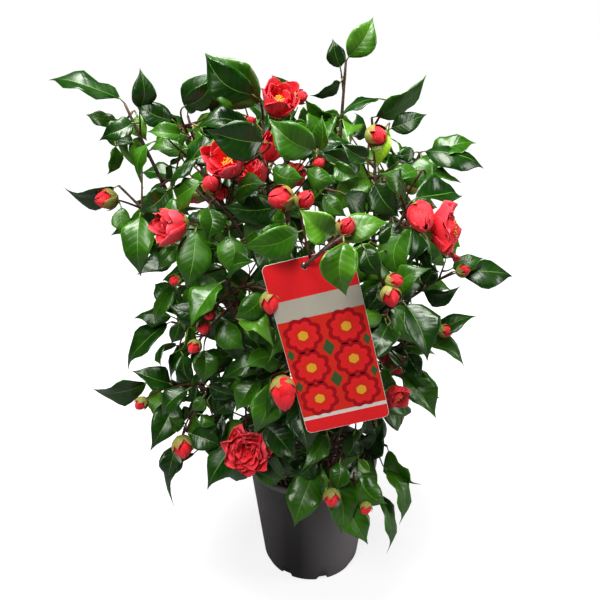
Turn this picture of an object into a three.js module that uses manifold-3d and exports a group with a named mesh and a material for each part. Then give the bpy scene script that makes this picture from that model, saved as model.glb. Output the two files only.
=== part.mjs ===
// Camellia shrub in its nursery pot: pot, soil, trunk, boughs, masses of foliage and a hanging card.
// Millimetres, +Z up. The origin is the middle of the pot's flat underside.
// The front of the shrub faces -Y, and its right side +X.

import * as THREE from 'three';
import { mergeVertices } from 'three/addons/utils/BufferGeometryUtils.js';
import Module from 'manifold-3d';

const wasm = await Module();
wasm.setup();

// Driving sizes of the pot and the soil
const POT_HEIGHT = 172;
const RIM_RADIUS = 95;
const FOOT_RADIUS = 67;
const FOOT_CHAMFER = 4;
const POT_WALL = 2.4;
const RIM_BAND = 9;
const RIM_OVERHANG = 3.4;
const STACKING_RING = 22;
const POT_SIDES = 36;
const DRAIN_NOTCHES = 8;
const NOTCH_WIDTH = 13;
const NOTCH_HEIGHT = 7;
const SOIL_BELOW_RIM = 14;
const SOIL_FALL = 3;
const SEAT_GAP = 0.3;

// Driving sizes of the wood
const TRUNK_FORK_HEIGHT = 262;
const TRUNK_LEAN = [5, 3];
const TRUNK_FOOT_RADIUS = 15;
const TRUNK_FLARE_HEIGHT = 30;
const TRUNK_RADIUS = 8.4;
const TRUNK_TIP_RADIUS = 6;
const STEM_TIP_RADIUS = 2.4;
const STEM_STEPS = 2;
const TWIG_RADIUS = 1.15;
const TWIG_TIP_RADIUS = 1.1;

// Driving sizes of the leaves, the blossom and the card
const LEAF_LENGTH = 68;
const LEAF_WIDTH_SHARE = 0.5;
const LEAF_THICKNESS_SHARE = 0.035;
const LEAF_MIDDLE = 0.44;
const LEAF_ARCH = 0.075;
const LEAF_FALL = 0.1;
const LEAF_ROOT = 0.2;
const LEAF_SPACING = 14;
const LEAF_ANGLE = 58;
const LEAF_CLEARANCE = 1.6;
const LIGHT_BEHIND = 40;
const LEAF_TRIES = 8;
const TWIG_ANGLE = 52;
const TWIG_LENGTH = [46, 84];
const MASS_REACH = 104;
const GOLDEN_ANGLE = 137.5;

// Free leaves keep inside a rounded barrel, and only the named leaf tips reach past it.
const CROWN_MIDDLE = [-24, -10, 422];
const CROWN_RADIUS = 218;
const CROWN_HALF_HEIGHT = 298;

const BLOOM_SIDES = 7;
const CARD_WIDTH = 90;
const CARD_HEIGHT = 192;
const CARD_CORNER = 6;
const CARD_THICKNESS = 0.8;
const CARD_HOLE_PLAY = 0.5;
const CARD_MARGIN = 2;
const CARD_VIEW_DEPTH = 58;
const CARD_COVERED_TOP = 46;
const CARD_TURN = -14;
const CARD_MIDDLE = [11.5, -200, 431];

// Each limb leaves its carrier at a share of the carrier's length and grows to the tip of its stem.
// The first part is the bare bough, and the rest, up to the tip, is the stem of the mass of foliage.
// lift and swing: how much the limb first climbs or goes across. leaf: how far its last leaf reaches.
// shoots: more outer leaf tips. free: how many twigs it has besides the shoots.
const limbs = [
  { name: 'top', on: 'trunk', at: 1, bare: 0.74, lift: 0.1, radius: 5.6, free: 4,
    tip: [36, -10, 704], leaf: [66, -6, 751], shoots: [[20, -16, 728]] },
  { name: 'top_left', on: 'trunk', at: 0.52, bare: 0.74, lift: -0.2, radius: 5.2, free: 4,
    tip: [-208, -70, 660], leaf: [-287, -70, 684], shoots: [[-186, -80, 696], [-240, -50, 622]] },
  { name: 'top_centre', on: 'trunk', at: 0.68, bare: 0.72, lift: -0.45, radius: 5, free: 4,
    tip: [-57, -95, 657], leaf: [-114, -95, 710], shoots: [[-8, -130, 640]] },
  { name: 'top_right', on: 'trunk', at: 0.76, bare: 0.72, lift: -0.7, radius: 5.2, free: 5,
    tip: [66, -30, 643], leaf: [127, -30, 692], shoots: [[128, -40, 647]] },
  { name: 'top_back', on: 'trunk', at: 0.6, bare: 0.7, lift: -0.45, radius: 5.2, free: 6,
    tip: [-40, 108, 640], leaf: [-58, 150, 690], shoots: [[-100, 86, 668]] },
  { name: 'top_centre_left', on: 'top_left', at: 0.62, bare: 0.45, lift: 0.5, radius: 2.8, free: 5,
    tip: [-147, -30, 645], leaf: [-108, -50, 694], shoots: [[-196, 0, 640]] },
  { name: 'upper_left', on: 'top_left', at: 0.48, bare: 0.5, lift: 0.2, radius: 2.8, free: 4,
    tip: [-232, -40, 566], leaf: [-296, -45, 565], shoots: [[-238, -70, 513], [-206, -90, 471]] },
  { name: 'mid_left', on: 'top_left', at: 0.3, bare: 0.5, lift: 0.4, radius: 2.8, free: 4,
    tip: [-186, -20, 384], leaf: [-244, -40, 322], shoots: [[-232, -30, 393], [-216, 30, 420]] },
  { name: 'low_left', on: 'trunk', at: 0.34, bare: 0.46, lift: 0.5, radius: 3, free: 4,
    tip: [-210, -60, 318], leaf: [-285, -62, 308], shoots: [[-203, -116, 250], [-178, -122, 172]] },
  { name: 'upper_front_left', on: 'top_centre', at: 0.52, bare: 0.5, lift: 0.3, radius: 2.8, free: 4,
    tip: [-112, -150, 588], leaf: [-152, -172, 546], shoots: [[-70, -190, 612]] },
  { name: 'mid_front_left', on: 'top_left', at: 0.42, bare: 0.5, lift: 0.3, radius: 2.8, free: 4,
    tip: [-96, -160, 486], leaf: [-128, -196, 448], shoots: [[-60, -204, 520]] },
  { name: 'front', on: 'top_centre', at: 0.44, bare: 0.78, lift: -0.05, swing: -0.72, radius: 2.8, free: 2,
    tip: [22, -235, 552], leaf: [25, -248, 500], shoots: [[-22, -226, 580], [66, -214, 560]] },
  { name: 'upper_front_right', on: 'top_right', at: 0.5, bare: 0.5, lift: 0.3, radius: 2.8, free: 4,
    tip: [98, -140, 566], leaf: [158, -128, 552], shoots: [[60, -176, 600]] },
  { name: 'upper_right', on: 'top_right', at: 0.6, bare: 0.5, lift: 0.4, radius: 2.8, free: 4,
    tip: [124, -35, 604], leaf: [199, -40, 586], shoots: [[190, -30, 614], [169, -60, 572]] },
  { name: 'right', on: 'top_right', at: 0.38, bare: 0.5, lift: 0.3, radius: 2.8, free: 5,
    tip: [179, -15, 451], leaf: [257, -14, 445], shoots: [[200, 40, 480]] },
  { name: 'mid_front_right', on: 'top_right', at: 0.26, bare: 0.5, lift: 0.4, radius: 2.8, free: 4,
    tip: [92, -156, 462], leaf: [116, -190, 408], shoots: [[120, -160, 500]] },
  { name: 'low_right', on: 'top_right', at: 0.14, bare: 0.5, lift: 0.4, radius: 2.8, free: 4,
    tip: [148, -50, 377], leaf: [205, -50, 404], shoots: [[194, -55, 337], [155, -90, 281]] },
  { name: 'skirt_right', on: 'trunk', at: 0.26, bare: 0.5, lift: 0.9, radius: 2.8, free: 4,
    tip: [96, -84, 236], leaf: [142, -94, 184], shoots: [[110, -128, 148], [92, -152, 124]] },
  { name: 'skirt_front', on: 'trunk', at: 0.16, bare: 0.5, lift: 1.0, radius: 2.8, free: 3,
    tip: [20, -136, 236], leaf: [32, -172, 170], shoots: [[-24, -166, 176], [66, -166, 150]] },
  { name: 'low_front_left', on: 'trunk', at: 0.42, bare: 0.5, lift: 0.6, radius: 2.8, free: 4,
    tip: [-88, -128, 284], leaf: [-126, -166, 230], shoots: [[-40, -176, 300]] },
  { name: 'low_front', on: 'top_centre', at: 0.12, bare: 0.5, lift: 0.2, radius: 2.8, free: 4,
    tip: [-34, -158, 388], leaf: [-52, -196, 340], shoots: [[30, -178, 330], [-78, -190, 400]] },
  { name: 'upper_back_left', on: 'top_back', at: 0.5, bare: 0.5, lift: 0.3, radius: 2.8, free: 4,
    tip: [-176, 80, 556], leaf: [-240, 94, 560], shoots: [[-150, 150, 560]] },
  { name: 'upper_back_right', on: 'top', at: 0.4, bare: 0.5, lift: 0.3, radius: 2.8, free: 5,
    tip: [124, 92, 556], leaf: [178, 130, 556], shoots: [[70, 170, 580], [178, 40, 590]] },
  { name: 'mid_back_left', on: 'top_back', at: 0.28, bare: 0.5, lift: 0.4, radius: 2.8, free: 4,
    tip: [-162, 100, 420], leaf: [-226, 116, 396], shoots: [[-110, 180, 430]] },
  { name: 'mid_back_right', on: 'top', at: 0.2, bare: 0.5, lift: 0.4, radius: 2.8, free: 4,
    tip: [138, 104, 410], leaf: [196, 128, 390], shoots: [[200, 60, 400]] },
  { name: 'mid_back', on: 'top_back', at: 0.38, bare: 0.5, lift: 0.3, radius: 2.8, free: 5,
    tip: [10, 164, 470], leaf: [22, 224, 440], shoots: [[-44, 212, 500]] },
  { name: 'low_back_left', on: 'trunk', at: 0.22, bare: 0.5, lift: 0.8, radius: 2.8, free: 4,
    tip: [-110, 94, 286], leaf: [-160, 134, 240], shoots: [[-186, 60, 290]] },
  { name: 'low_back_right', on: 'trunk', at: 0.3, bare: 0.5, lift: 0.7, radius: 2.8, free: 4,
    tip: [110, 94, 292], leaf: [152, 134, 246], shoots: [[184, 60, 300]] },
];

// Open blooms: the mass that carries each, its place, the way it faces and its width.
const blooms = [
  { mass: 'top_centre', at: [-34, -124, 669], face: [0.25, -0.9, 0.4], width: 46 },
  { mass: 'upper_front_left', at: [-92, -160, 608], face: [-0.3, -0.9, 0.2], width: 42 },
  { mass: 'upper_front_left', at: [-142, -150, 538], face: [-0.2, -0.8, 0.5], width: 38 },
  { mass: 'upper_front_right', at: [106, -160, 540], face: [-0.1, -0.9, 0.4], width: 34 },
  { mass: 'upper_front_right', at: [134, -150, 526], face: [0.8, -0.6, 0], width: 44 },
  { mass: 'mid_front_right', at: [98, -150, 326], face: [0.5, -0.8, -0.3], width: 34 },
  { mass: 'low_front_left', at: [-80, -178, 256], face: [0.1, -0.95, 0.2], width: 54 },
  { mass: 'low_front', at: [-34, -204, 363], face: [0.1, -0.4, 0.9], width: 26 },
  { mass: 'top_back', at: [-10, 140, 646], face: [0.1, 0.8, 0.6], width: 46 },
  { mass: 'mid_back', at: [46, 200, 452], face: [0.3, 0.9, 0.2], width: 50 },
  { mass: 'upper_back_left', at: [-166, 124, 530], face: [-0.5, 0.8, 0.2], width: 44 },
  { mass: 'low_back_right', at: [130, 122, 256], face: [0.5, 0.8, 0], width: 44 },
];

// Closed buds, with their place and length.
const buds = [
  { mass: 'upper_front_left', at: [-36, -194, 578], length: 22 },
  { mass: 'front', at: [-12, -214, 584], length: 18 },
  { mass: 'upper_front_left', at: [-104, -182, 580], length: 17 },
  { mass: 'mid_front_left', at: [-110, -196, 448], length: 16 },
  { mass: 'mid_front_left', at: [-114, -186, 436], length: 14 },
  { mass: 'mid_front_left', at: [-130, -170, 398], length: 15 },
  { mass: 'front', at: [30, -246, 551], length: 22 },
  { mass: 'mid_front_right', at: [76, -190, 492], length: 17 },
  { mass: 'mid_front_right', at: [80, -182, 470], length: 16 },
  { mass: 'low_right', at: [164, -64, 391], length: 18 },
  { mass: 'top_right', at: [70, -58, 624], length: 22 },
  { mass: 'upper_left', at: [-246, -66, 551], length: 24 },
  { mass: 'low_left', at: [-226, -80, 298], length: 16 },
  { mass: 'low_left', at: [-160, -124, 256], length: 26 },
  { mass: 'skirt_front', at: [20, -176, 205], length: 18 },
  { mass: 'skirt_front', at: [54, -172, 192], length: 16 },
  { mass: 'right', at: [186, -40, 460], length: 17 },
  { mass: 'mid_back_left', at: [-186, 130, 386], length: 19 },
  { mass: 'mid_back_right', at: [168, 130, 396], length: 19 },
  { mass: 'upper_back_right', at: [146, 124, 536], length: 20 },
];

// Finishes
const finishes = {
  potPlastic: { color: 0x2b2a2f, roughness: 0.45, metalness: 0 },
  soil: { color: 0x2f241d, roughness: 1, metalness: 0 },
  bark: { color: 0x4b3a2e, roughness: 0.85, metalness: 0 },
  foliage: { color: 0x22552a, roughness: 0.35, metalness: 0 },
  card: { color: 0xc8202c, roughness: 0.3, metalness: 0 },
};

const UP = new THREE.Vector3(0, 0, 1);
const radians = THREE.MathUtils.degToRad;
const vector = (place) => new THREE.Vector3(...place);

// Every mass draws from its own row of numbers, so that a change to one leaves the others alone.
function numbersFrom(seed) {
  let state = seed;
  return (low, high) => {
    state = (state * 1664525 + 1013904223) % 4294967296;
    return low + (high - low) * (state / 4294967296);
  };
}

function pointOn(curve, share) {
  return curve.getPoint(share);
}

function headingOn(curve, share) {
  const first = curve.v1.clone().sub(curve.v0).multiplyScalar(1 - share);
  return curve.v2.clone().sub(curve.v1).multiplyScalar(share).add(first).normalize();
}

function partOf(curve, from, to) {
  const start = pointOn(curve, from);
  const end = pointOn(curve, to);
  const reach = (to - from) * curve.v1.distanceTo(curve.v0) * (1 - from)
    + (to - from) * curve.v2.distanceTo(curve.v1) * from;
  const middle = start.clone().addScaledVector(headingOn(curve, from), reach);
  return new THREE.QuadraticBezierCurve3(start, middle, end);
}

// A curve lies in one plane, so the plane's normal serves as its steady sideways direction.
function sidewaysOf(curve) {
  const first = curve.v1.clone().sub(curve.v0).normalize();
  const second = curve.v2.clone().sub(curve.v1).normalize();
  const aside = new THREE.Vector3().crossVectors(first, second);
  if (aside.length() < 0.02) {
    aside.crossVectors(first, Math.abs(first.z) > 0.9 ? new THREE.Vector3(1, 0, 0) : UP);
  }
  return aside.normalize();
}

// Solids
function solidOf(geometry) {
  geometry.deleteAttribute('normal');
  geometry.deleteAttribute('uv');
  const merged = mergeVertices(geometry, 1e-4);
  const vertProperties = new Float32Array(merged.attributes.position.array);
  const triVerts = new Uint32Array(merged.index.array);
  return new wasm.Manifold(new wasm.Mesh({ numProp: 3, vertProperties, triVerts }));
}

function meshOf(name, solid, finish) {
  const body = solid.getMesh();
  const geometry = new THREE.BufferGeometry();
  geometry.setAttribute('position', new THREE.BufferAttribute(new Float32Array(body.vertProperties), 3));
  geometry.setIndex(new THREE.BufferAttribute(new Uint32Array(body.triVerts), 1));
  const mesh = new THREE.Mesh(geometry, new THREE.MeshStandardMaterial(finish));
  mesh.name = name;
  return mesh;
}

function largestBody(solid) {
  const bodies = solid.decompose();
  return bodies.reduce((best, body) => (body.volume() > best.volume() ? body : best));
}

function joined(solids) {
  return largestBody(wasm.Manifold.union(solids));
}

// A bar that follows a curve, with its radius told by the share of the way along.
function barAlong(curve, radiusAt, sides, steps) {
  const section = new THREE.Shape();
  for (let i = 0; i < sides; i += 1) {
    const turn = (i / sides) * Math.PI * 2;
    section[i === 0 ? 'moveTo' : 'lineTo'](Math.cos(turn), Math.sin(turn));
  }
  const geometry = new THREE.ExtrudeGeometry(section, { depth: 1, steps, bevelEnabled: false });
  const corners = geometry.attributes.position;
  const aside = sidewaysOf(curve);
  for (let i = 0; i < corners.count; i += 1) {
    const share = corners.getZ(i);
    const across = new THREE.Vector3().crossVectors(headingOn(curve, share), aside);
    const radius = radiusAt(share);
    const corner = pointOn(curve, share);
    corner.addScaledVector(aside, corners.getX(i) * radius);
    corner.addScaledVector(across, corners.getY(i) * radius);
    corners.setXYZ(i, corner.x, corner.y, corner.z);
  }
  return solidOf(geometry);
}

// The pot and the soil
const wallOutside = (height) => THREE.MathUtils.mapLinear(
  height, FOOT_RADIUS * 0.13, POT_HEIGHT, FOOT_RADIUS + FOOT_CHAMFER, RIM_RADIUS - RIM_OVERHANG);

function turned(profile) {
  const points = profile.map(([radius, height]) => new THREE.Vector2(radius, height));
  const geometry = new THREE.LatheGeometry(points, POT_SIDES);
  geometry.rotateX(Math.PI / 2);
  return solidOf(geometry);
}

function potSolid() {
  const chamferTop = FOOT_RADIUS * 0.13;
  const ring = POT_HEIGHT - STACKING_RING;
  const band = POT_HEIGHT - RIM_BAND;
  const inside = (height) => wallOutside(height) - POT_WALL;
  let pot = turned([
    [0, 0],
    [FOOT_RADIUS, 0],
    [FOOT_RADIUS + FOOT_CHAMFER, chamferTop],
    [wallOutside(ring), ring],
    [wallOutside(ring) + 1.2, ring + 1.5],
    [wallOutside(band), band - 1],
    [RIM_RADIUS - 0.8, band],
    [RIM_RADIUS, band + 1.5],
    [RIM_RADIUS, POT_HEIGHT - 1.5],
    [RIM_RADIUS - 1.2, POT_HEIGHT],
    [inside(POT_HEIGHT), POT_HEIGHT],
    [inside(chamferTop), chamferTop],
    [FOOT_RADIUS - POT_WALL, POT_WALL],
    [0, POT_WALL],
  ]);
  for (let i = 0; i < DRAIN_NOTCHES; i += 1) {
    const notch = new THREE.BoxGeometry(FOOT_CHAMFER * 4, NOTCH_WIDTH, NOTCH_HEIGHT * 2);
    notch.translate(FOOT_RADIUS + FOOT_CHAMFER, 0, 0);
    notch.rotateZ(((i + 0.3) / DRAIN_NOTCHES) * Math.PI * 2);
    pot = pot.subtract(solidOf(notch));
  }
  return pot;
}

const soilTop = POT_HEIGHT - SOIL_BELOW_RIM;

function soilSolid() {
  const chamferTop = FOOT_RADIUS * 0.13;
  const side = (height) => wallOutside(height) - POT_WALL - SEAT_GAP;
  return turned([
    [0, POT_WALL + SEAT_GAP],
    [FOOT_RADIUS - POT_WALL - SEAT_GAP, POT_WALL + SEAT_GAP],
    [side(chamferTop), chamferTop + SEAT_GAP],
    [side(soilTop - SOIL_FALL), soilTop - SOIL_FALL],
    [side(soilTop) * 0.72, soilTop - SOIL_FALL * 0.5],
    [side(soilTop) * 0.4, soilTop],
    [0, soilTop],
  ]);
}

// Patches: a few corners, faces and edges that stand for a piece when crossings are looked for.
const LEAF_FACES = [[0, 3, 4], [3, 1, 4], [1, 2, 4], [2, 0, 4], [0, 2, 3], [1, 3, 2]];
const LEAF_EDGES = [[0, 2], [0, 3], [0, 4], [1, 2], [1, 3], [1, 4], [2, 4], [3, 4], [2, 3]];
const BOX_FACES = [[0, 1, 5], [0, 5, 4], [1, 2, 6], [1, 6, 5], [2, 3, 7], [2, 7, 6], [3, 0, 4], [3, 4, 7],
  [0, 2, 1], [0, 3, 2], [4, 5, 6], [4, 6, 7]];
const BOX_EDGES = [[0, 1], [1, 2], [2, 3], [3, 0], [4, 5], [5, 6], [6, 7], [7, 4], [0, 4], [1, 5], [2, 6],
  [3, 7]];

function patchOf(corners, faces, edges, owner) {
  const centre = new THREE.Vector3();
  corners.forEach((corner) => centre.addScaledVector(corner, 1 / corners.length));
  const radius = Math.max(...corners.map((corner) => corner.distanceTo(centre)));
  return { corners, faces, edges, centre, radius, owner };
}

function barPatch(start, end, startRadius, endRadius, owner) {
  const heading = end.clone().sub(start).normalize();
  const aside = sidewaysOf(new THREE.QuadraticBezierCurve3(start, start.clone().lerp(end, 0.5), end));
  const across = new THREE.Vector3().crossVectors(aside, heading);
  const corners = [];
  for (const [middle, radius] of [[start, startRadius], [end, endRadius]]) {
    for (const [x, y] of [[1, 0], [0, 1], [-1, 0], [0, -1]]) {
      const corner = middle.clone().addScaledVector(aside, x * radius * Math.SQRT2);
      corners.push(corner.addScaledVector(across, y * radius * Math.SQRT2));
    }
  }
  return patchOf(corners, BOX_FACES, BOX_EDGES, owner);
}

function edgeMeetsFace(start, end, a, b, c) {
  const way = end.clone().sub(start);
  const first = b.clone().sub(a);
  const second = c.clone().sub(a);
  const cross = new THREE.Vector3().crossVectors(way, second);
  const slant = first.dot(cross);
  if (Math.abs(slant) < 1e-9) {
    return false;
  }
  const offset = start.clone().sub(a);
  const u = offset.dot(cross) / slant;
  if (u < 0 || u > 1) {
    return false;
  }
  const turn = offset.cross(first);
  const v = way.dot(turn) / slant;
  if (v < 0 || u + v > 1) {
    return false;
  }
  const share = second.dot(turn) / slant;
  return share >= 0 && share <= 1;
}

function edgesCross(one, other) {
  return one.edges.some(([start, end]) => other.faces.some(([a, b, c]) => edgeMeetsFace(
    one.corners[start], one.corners[end], other.corners[a], other.corners[b], other.corners[c])));
}

function patchesCross(one, other) {
  if (one.centre.distanceTo(other.centre) > one.radius + other.radius) {
    return false;
  }
  return edgesCross(one, other) || edgesCross(other, one);
}

const taken = [];

function isFree(patch, ownOwners) {
  return !taken.some((other) => !ownOwners.includes(other.owner) && patchesCross(patch, other));
}

function takeBar(curve, radiusAt, steps, margin, owner) {
  for (let i = 0; i < steps; i += 1) {
    const [from, to] = [i / steps, (i + 1) / steps];
    taken.push(barPatch(pointOn(curve, from), pointOn(curve, to), radiusAt(from) + margin,
      radiusAt(to) + margin, owner));
  }
}

// A leaf that droops keeps clear of the pot and of the soil inside it.
const POT_CLEARANCE = 4;

function meetsPot(corners) {
  for (const [from, to] of LEAF_EDGES) {
    for (let i = 0; i <= 6; i += 1) {
      const place = corners[from].clone().lerp(corners[to], i / 6);
      const nearPot = Math.hypot(place.x, place.y) < RIM_RADIUS + POT_CLEARANCE;
      if (nearPot && place.z < POT_HEIGHT + POT_CLEARANCE) {
        return true;
      }
    }
  }
  return false;
}

// The trunk, flared at the soil
const trunk = {
  name: 'trunk',
  bare: 1,
  sides: 10,
  steps: 6,
  curve: new THREE.QuadraticBezierCurve3(
    new THREE.Vector3(0, 0, soilTop + SEAT_GAP),
    new THREE.Vector3(0, 0, (soilTop + TRUNK_FORK_HEIGHT) / 2),
    new THREE.Vector3(TRUNK_LEAN[0], TRUNK_LEAN[1], TRUNK_FORK_HEIGHT)),
};
trunk.radiusAt = (share) => {
  const height = share * (TRUNK_FORK_HEIGHT - soilTop);
  const flare = Math.max(0, 1 - height / TRUNK_FLARE_HEIGHT) ** 2;
  return THREE.MathUtils.lerp(TRUNK_RADIUS, TRUNK_TIP_RADIUS, share)
    + flare * (TRUNK_FOOT_RADIUS - TRUNK_RADIUS);
};

// Limbs: the curve of each, from its carrier's middle to the tip of its stem
const carriers = { trunk };

function limbCurve(limb) {
  const carrier = carriers[limb.on];
  const start = pointOn(carrier.curve, limb.at * carrier.bare);
  if (limb.at === 1) {
    start.addScaledVector(headingOn(carrier.curve, 1), SEAT_GAP);
  }
  const end = vector(limb.tip);
  const reach = start.distanceTo(end) / 2;
  const heading = limb.at === 1
    ? headingOn(carrier.curve, 1)
    : end.clone().sub(start).normalize().add(new THREE.Vector3(limb.swing ?? 0, 0, limb.lift)).normalize();
  return new THREE.QuadraticBezierCurve3(start, start.clone().addScaledVector(heading, reach), end);
}

for (const limb of limbs) {
  limb.sides = 5;
  limb.steps = 4;
  limb.curve = limbCurve(limb);
  limb.radiusAt = (share) => THREE.MathUtils.lerp(limb.radius, STEM_TIP_RADIUS, share);
  carriers[limb.name] = limb;
}

// The bare part of a limb or of the trunk. A margin makes it wider by that much on each flat.
function bareSolid(limb, margin) {
  const wider = margin / Math.cos(Math.PI / limb.sides);
  const radiusAt = (share) => limb.radiusAt(share * limb.bare) + wider;
  return barAlong(partOf(limb.curve, 0, limb.bare), radiusAt, limb.sides, limb.steps);
}

function boughSolid(limb) {
  const solid = bareSolid(limb, 0);
  return limb.at === 1 ? solid : largestBody(solid.subtract(bareSolid(carriers[limb.on], SEAT_GAP)));
}

// Leaves: corners in the order root, tip, left, right and crest
function leafCorners(leaf, extra) {
  const { root, heading, face, length } = leaf;
  const aside = new THREE.Vector3().crossVectors(face, heading).normalize();
  const half = (length * LEAF_WIDTH_SHARE) / 2 + extra;
  const at = (forward, side, rise) => root.clone().addScaledVector(heading, forward * length)
    .addScaledVector(aside, side).addScaledVector(face, rise * length);
  const sunk = extra / length;
  return [
    at(0, 0, -sunk),
    at(0.985 + sunk, 0, -LEAF_FALL - sunk),
    at(LEAF_MIDDLE, half, LEAF_ARCH - sunk),
    at(LEAF_MIDDLE, -half, LEAF_ARCH - sunk),
    at(LEAF_MIDDLE, 0, LEAF_ARCH + LEAF_THICKNESS_SHARE + sunk),
  ];
}

function leafSolid(leaf) {
  const geometry = new THREE.BufferGeometry().setFromPoints(leafCorners(leaf, 0));
  geometry.setIndex(LEAF_FACES.flat());
  return solidOf(geometry);
}

// The upper side of a leaf turns to the light, which comes from above and from outside the crown.
function leafFace(root, heading, roll) {
  const outward = new THREE.Vector3(root.x * 0.7, root.y - LIGHT_BEHIND, 0).normalize();
  const light = UP.clone().multiplyScalar(0.55).addScaledVector(outward, 0.85);
  const face = light.addScaledVector(heading, -light.dot(heading)).normalize();
  return face.applyAxisAngle(heading, roll);
}

function makeLeaf(place, heading, roll, length) {
  const root = place.clone().addScaledVector(heading, -LEAF_ROOT);
  return { root, heading, face: leafFace(place, heading, roll), length: length + LEAF_ROOT };
}

// A leaf whose tip is to reach a given place
function leafTo(place, reach) {
  const way = reach.clone().sub(place);
  const length = way.length() / Math.hypot(0.985, LEAF_FALL);
  const guess = makeLeaf(place, way.clone().normalize(), 0, length);
  const heading = way.normalize().addScaledVector(guess.face, LEAF_FALL).normalize();
  return makeLeaf(place, heading, 0, length);
}

function insideSpace(limb, place) {
  const stem = limb.stem;
  let nearest = Infinity;
  for (let i = 0; i <= 8; i += 1) {
    nearest = Math.min(nearest, pointOn(stem, i / 8).distanceTo(place));
  }
  return nearest < MASS_REACH;
}

function insideCrown(place) {
  const away = place.clone().sub(vector(CROWN_MIDDLE));
  const level = (away.z / CROWN_HALF_HEIGHT) ** 4;
  return (Math.hypot(away.x, away.y) / CROWN_RADIUS) ** 2 + level < 1;
}

function leafFits(limb, leaf, owners) {
  const corners = leafCorners(leaf, LEAF_CLEARANCE);
  if (meetsPot(corners) || !insideSpace(limb, corners[1]) || !insideCrown(corners[1])) {
    return false;
  }
  return isFree(patchOf(corners, LEAF_FACES, LEAF_EDGES, limb.name), owners);
}

function placeLeaf(limb, leaf) {
  limb.leaves.push(leaf);
  taken.push(patchOf(leafCorners(leaf, 0), LEAF_FACES, LEAF_EDGES, 'leaf'));
}

// Twigs of one mass
function addTwig(limb, curve) {
  const twig = {
    curve,
    owner: `${limb.name} twig ${limb.twigs.length}`,
    radiusAt: (share) => THREE.MathUtils.lerp(TWIG_RADIUS, TWIG_TIP_RADIUS, share),
  };
  limb.twigs.push(twig);
  twig.carries = false;
  takeBar(twig.curve, twig.radiusAt, 2, 1, twig.owner);
  return twig;
}

function twigFits(limb, curve) {
  const owners = [limb.name];
  const patch = (from, to) => barPatch(pointOn(curve, from), pointOn(curve, to), 2.4, 2.2, limb.name);
  const clearOfPot = curve.v2.z > POT_HEIGHT + 12 || Math.hypot(curve.v2.x, curve.v2.y) > RIM_RADIUS + 12;
  return clearOfPot && isFree(patch(0.12, 0.5), owners) && isFree(patch(0.5, 1), owners);
}

function nearestShare(curve, place) {
  let best = 0;
  for (let i = 0; i <= 20; i += 1) {
    if (pointOn(curve, i / 20).distanceTo(place) < pointOn(curve, best).distanceTo(place)) {
      best = i / 20;
    }
  }
  return best;
}

// A short twig from the stem to a bloom or a bud
function blossomTwig(limb, place, face, depth) {
  const foot = place.clone().addScaledVector(face, -depth);
  const share = Math.max(0.06, nearestShare(limb.stem, foot) - 0.25);
  const start = pointOn(limb.stem, share);
  const end = place.clone().addScaledVector(face, -depth * 0.5);
  const curve = new THREE.QuadraticBezierCurve3(start, start.clone().lerp(end, 0.5), end);
  addTwig(limb, curve).carries = true;
}

function growBlossom() {
  for (const bloom of blooms) {
    const face = vector(bloom.face).normalize();
    const place = vector(bloom.at);
    const limb = carriers[bloom.mass];
    blossomTwig(limb, place, face, bloom.width * 0.3);
    const clear = place.clone().addScaledVector(face, bloom.width * 0.9);
    taken.push(barPatch(place.clone().addScaledVector(face, -bloom.width * 0.3), clear,
      bloom.width * 0.3, bloom.width * 0.34, 'bloom'));
    limb.blossom.push({ ...bloom, place, face });
  }
  for (const bud of buds) {
    const limb = carriers[bud.mass];
    const place = vector(bud.at);
    const away = place.clone().sub(pointOn(limb.stem, 0.5)).setZ(0).normalize();
    const face = away.addScaledVector(UP, 0.35).normalize();
    blossomTwig(limb, place, face, bud.length * 0.4);
    taken.push(barPatch(place.clone().addScaledVector(face, -bud.length * 0.4),
      place.clone().addScaledVector(face, bud.length * 0.9), bud.length * 0.3, bud.length * 0.3, 'bud'));
    limb.buds.push({ ...bud, place, face });
  }
}

// Shoots that carry the outermost leaves. Each starts where it first finds room.
function shootCurve(limb, reach, share) {
  const start = pointOn(limb.stem, share);
  const way = reach.clone().sub(start);
  const length = Math.min(LEAF_LENGTH, way.length() * 0.62);
  const end = start.clone().addScaledVector(way, 1 - length / way.length()).addScaledVector(UP, 9);
  return new THREE.QuadraticBezierCurve3(start, start.clone().lerp(end, 0.5), end);
}

function growShoots(limb) {
  for (const shoot of limb.shoots) {
    const reach = vector(shoot);
    const wanted = Math.max(0.08, Math.min(0.85, nearestShare(limb.stem, reach) - 0.3));
    const shares = [0, 0.08, -0.08, 0.16, -0.16, 0.24, -0.24, 0.32, -0.32].map((step) => wanted + step);
    const curves = shares.filter((share) => share >= 0.05 && share <= 0.95)
      .map((share) => shootCurve(limb, reach, share));
    const curve = curves.find((choice) => twigFits(limb, choice)) ?? curves[0];
    addTwig(limb, curve).reach = reach;
  }
}

function growFreeTwigs(limb, number) {
  for (let i = 0; i < limb.free; i += 1) {
    for (let attempt = 0; attempt < LEAF_TRIES; attempt += 1) {
      const share = 0.1 + (0.8 * (i + number(0, 0.6))) / limb.free;
      const start = pointOn(limb.stem, share);
      const along = headingOn(limb.stem, share);
      const spin = radians(GOLDEN_ANGLE * (i + 1) + limb.turn + number(-30, 30));
      const aside = sidewaysOf(limb.stem).applyAxisAngle(along, spin);
      const angle = radians(TWIG_ANGLE + number(-10, 10));
      const heading = along.multiplyScalar(Math.cos(angle)).addScaledVector(aside, Math.sin(angle));
      const length = number(TWIG_LENGTH[0], TWIG_LENGTH[1]);
      const bend = start.clone().addScaledVector(heading, length / 2);
      const end = bend.clone().addScaledVector(heading, length / 2).addScaledVector(UP, length * 0.12);
      const curve = new THREE.QuadraticBezierCurve3(start, bend, end);
      if (insideSpace(limb, end) && insideCrown(end) && twigFits(limb, curve)) {
        addTwig(limb, curve);
        break;
      }
    }
  }
}

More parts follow.
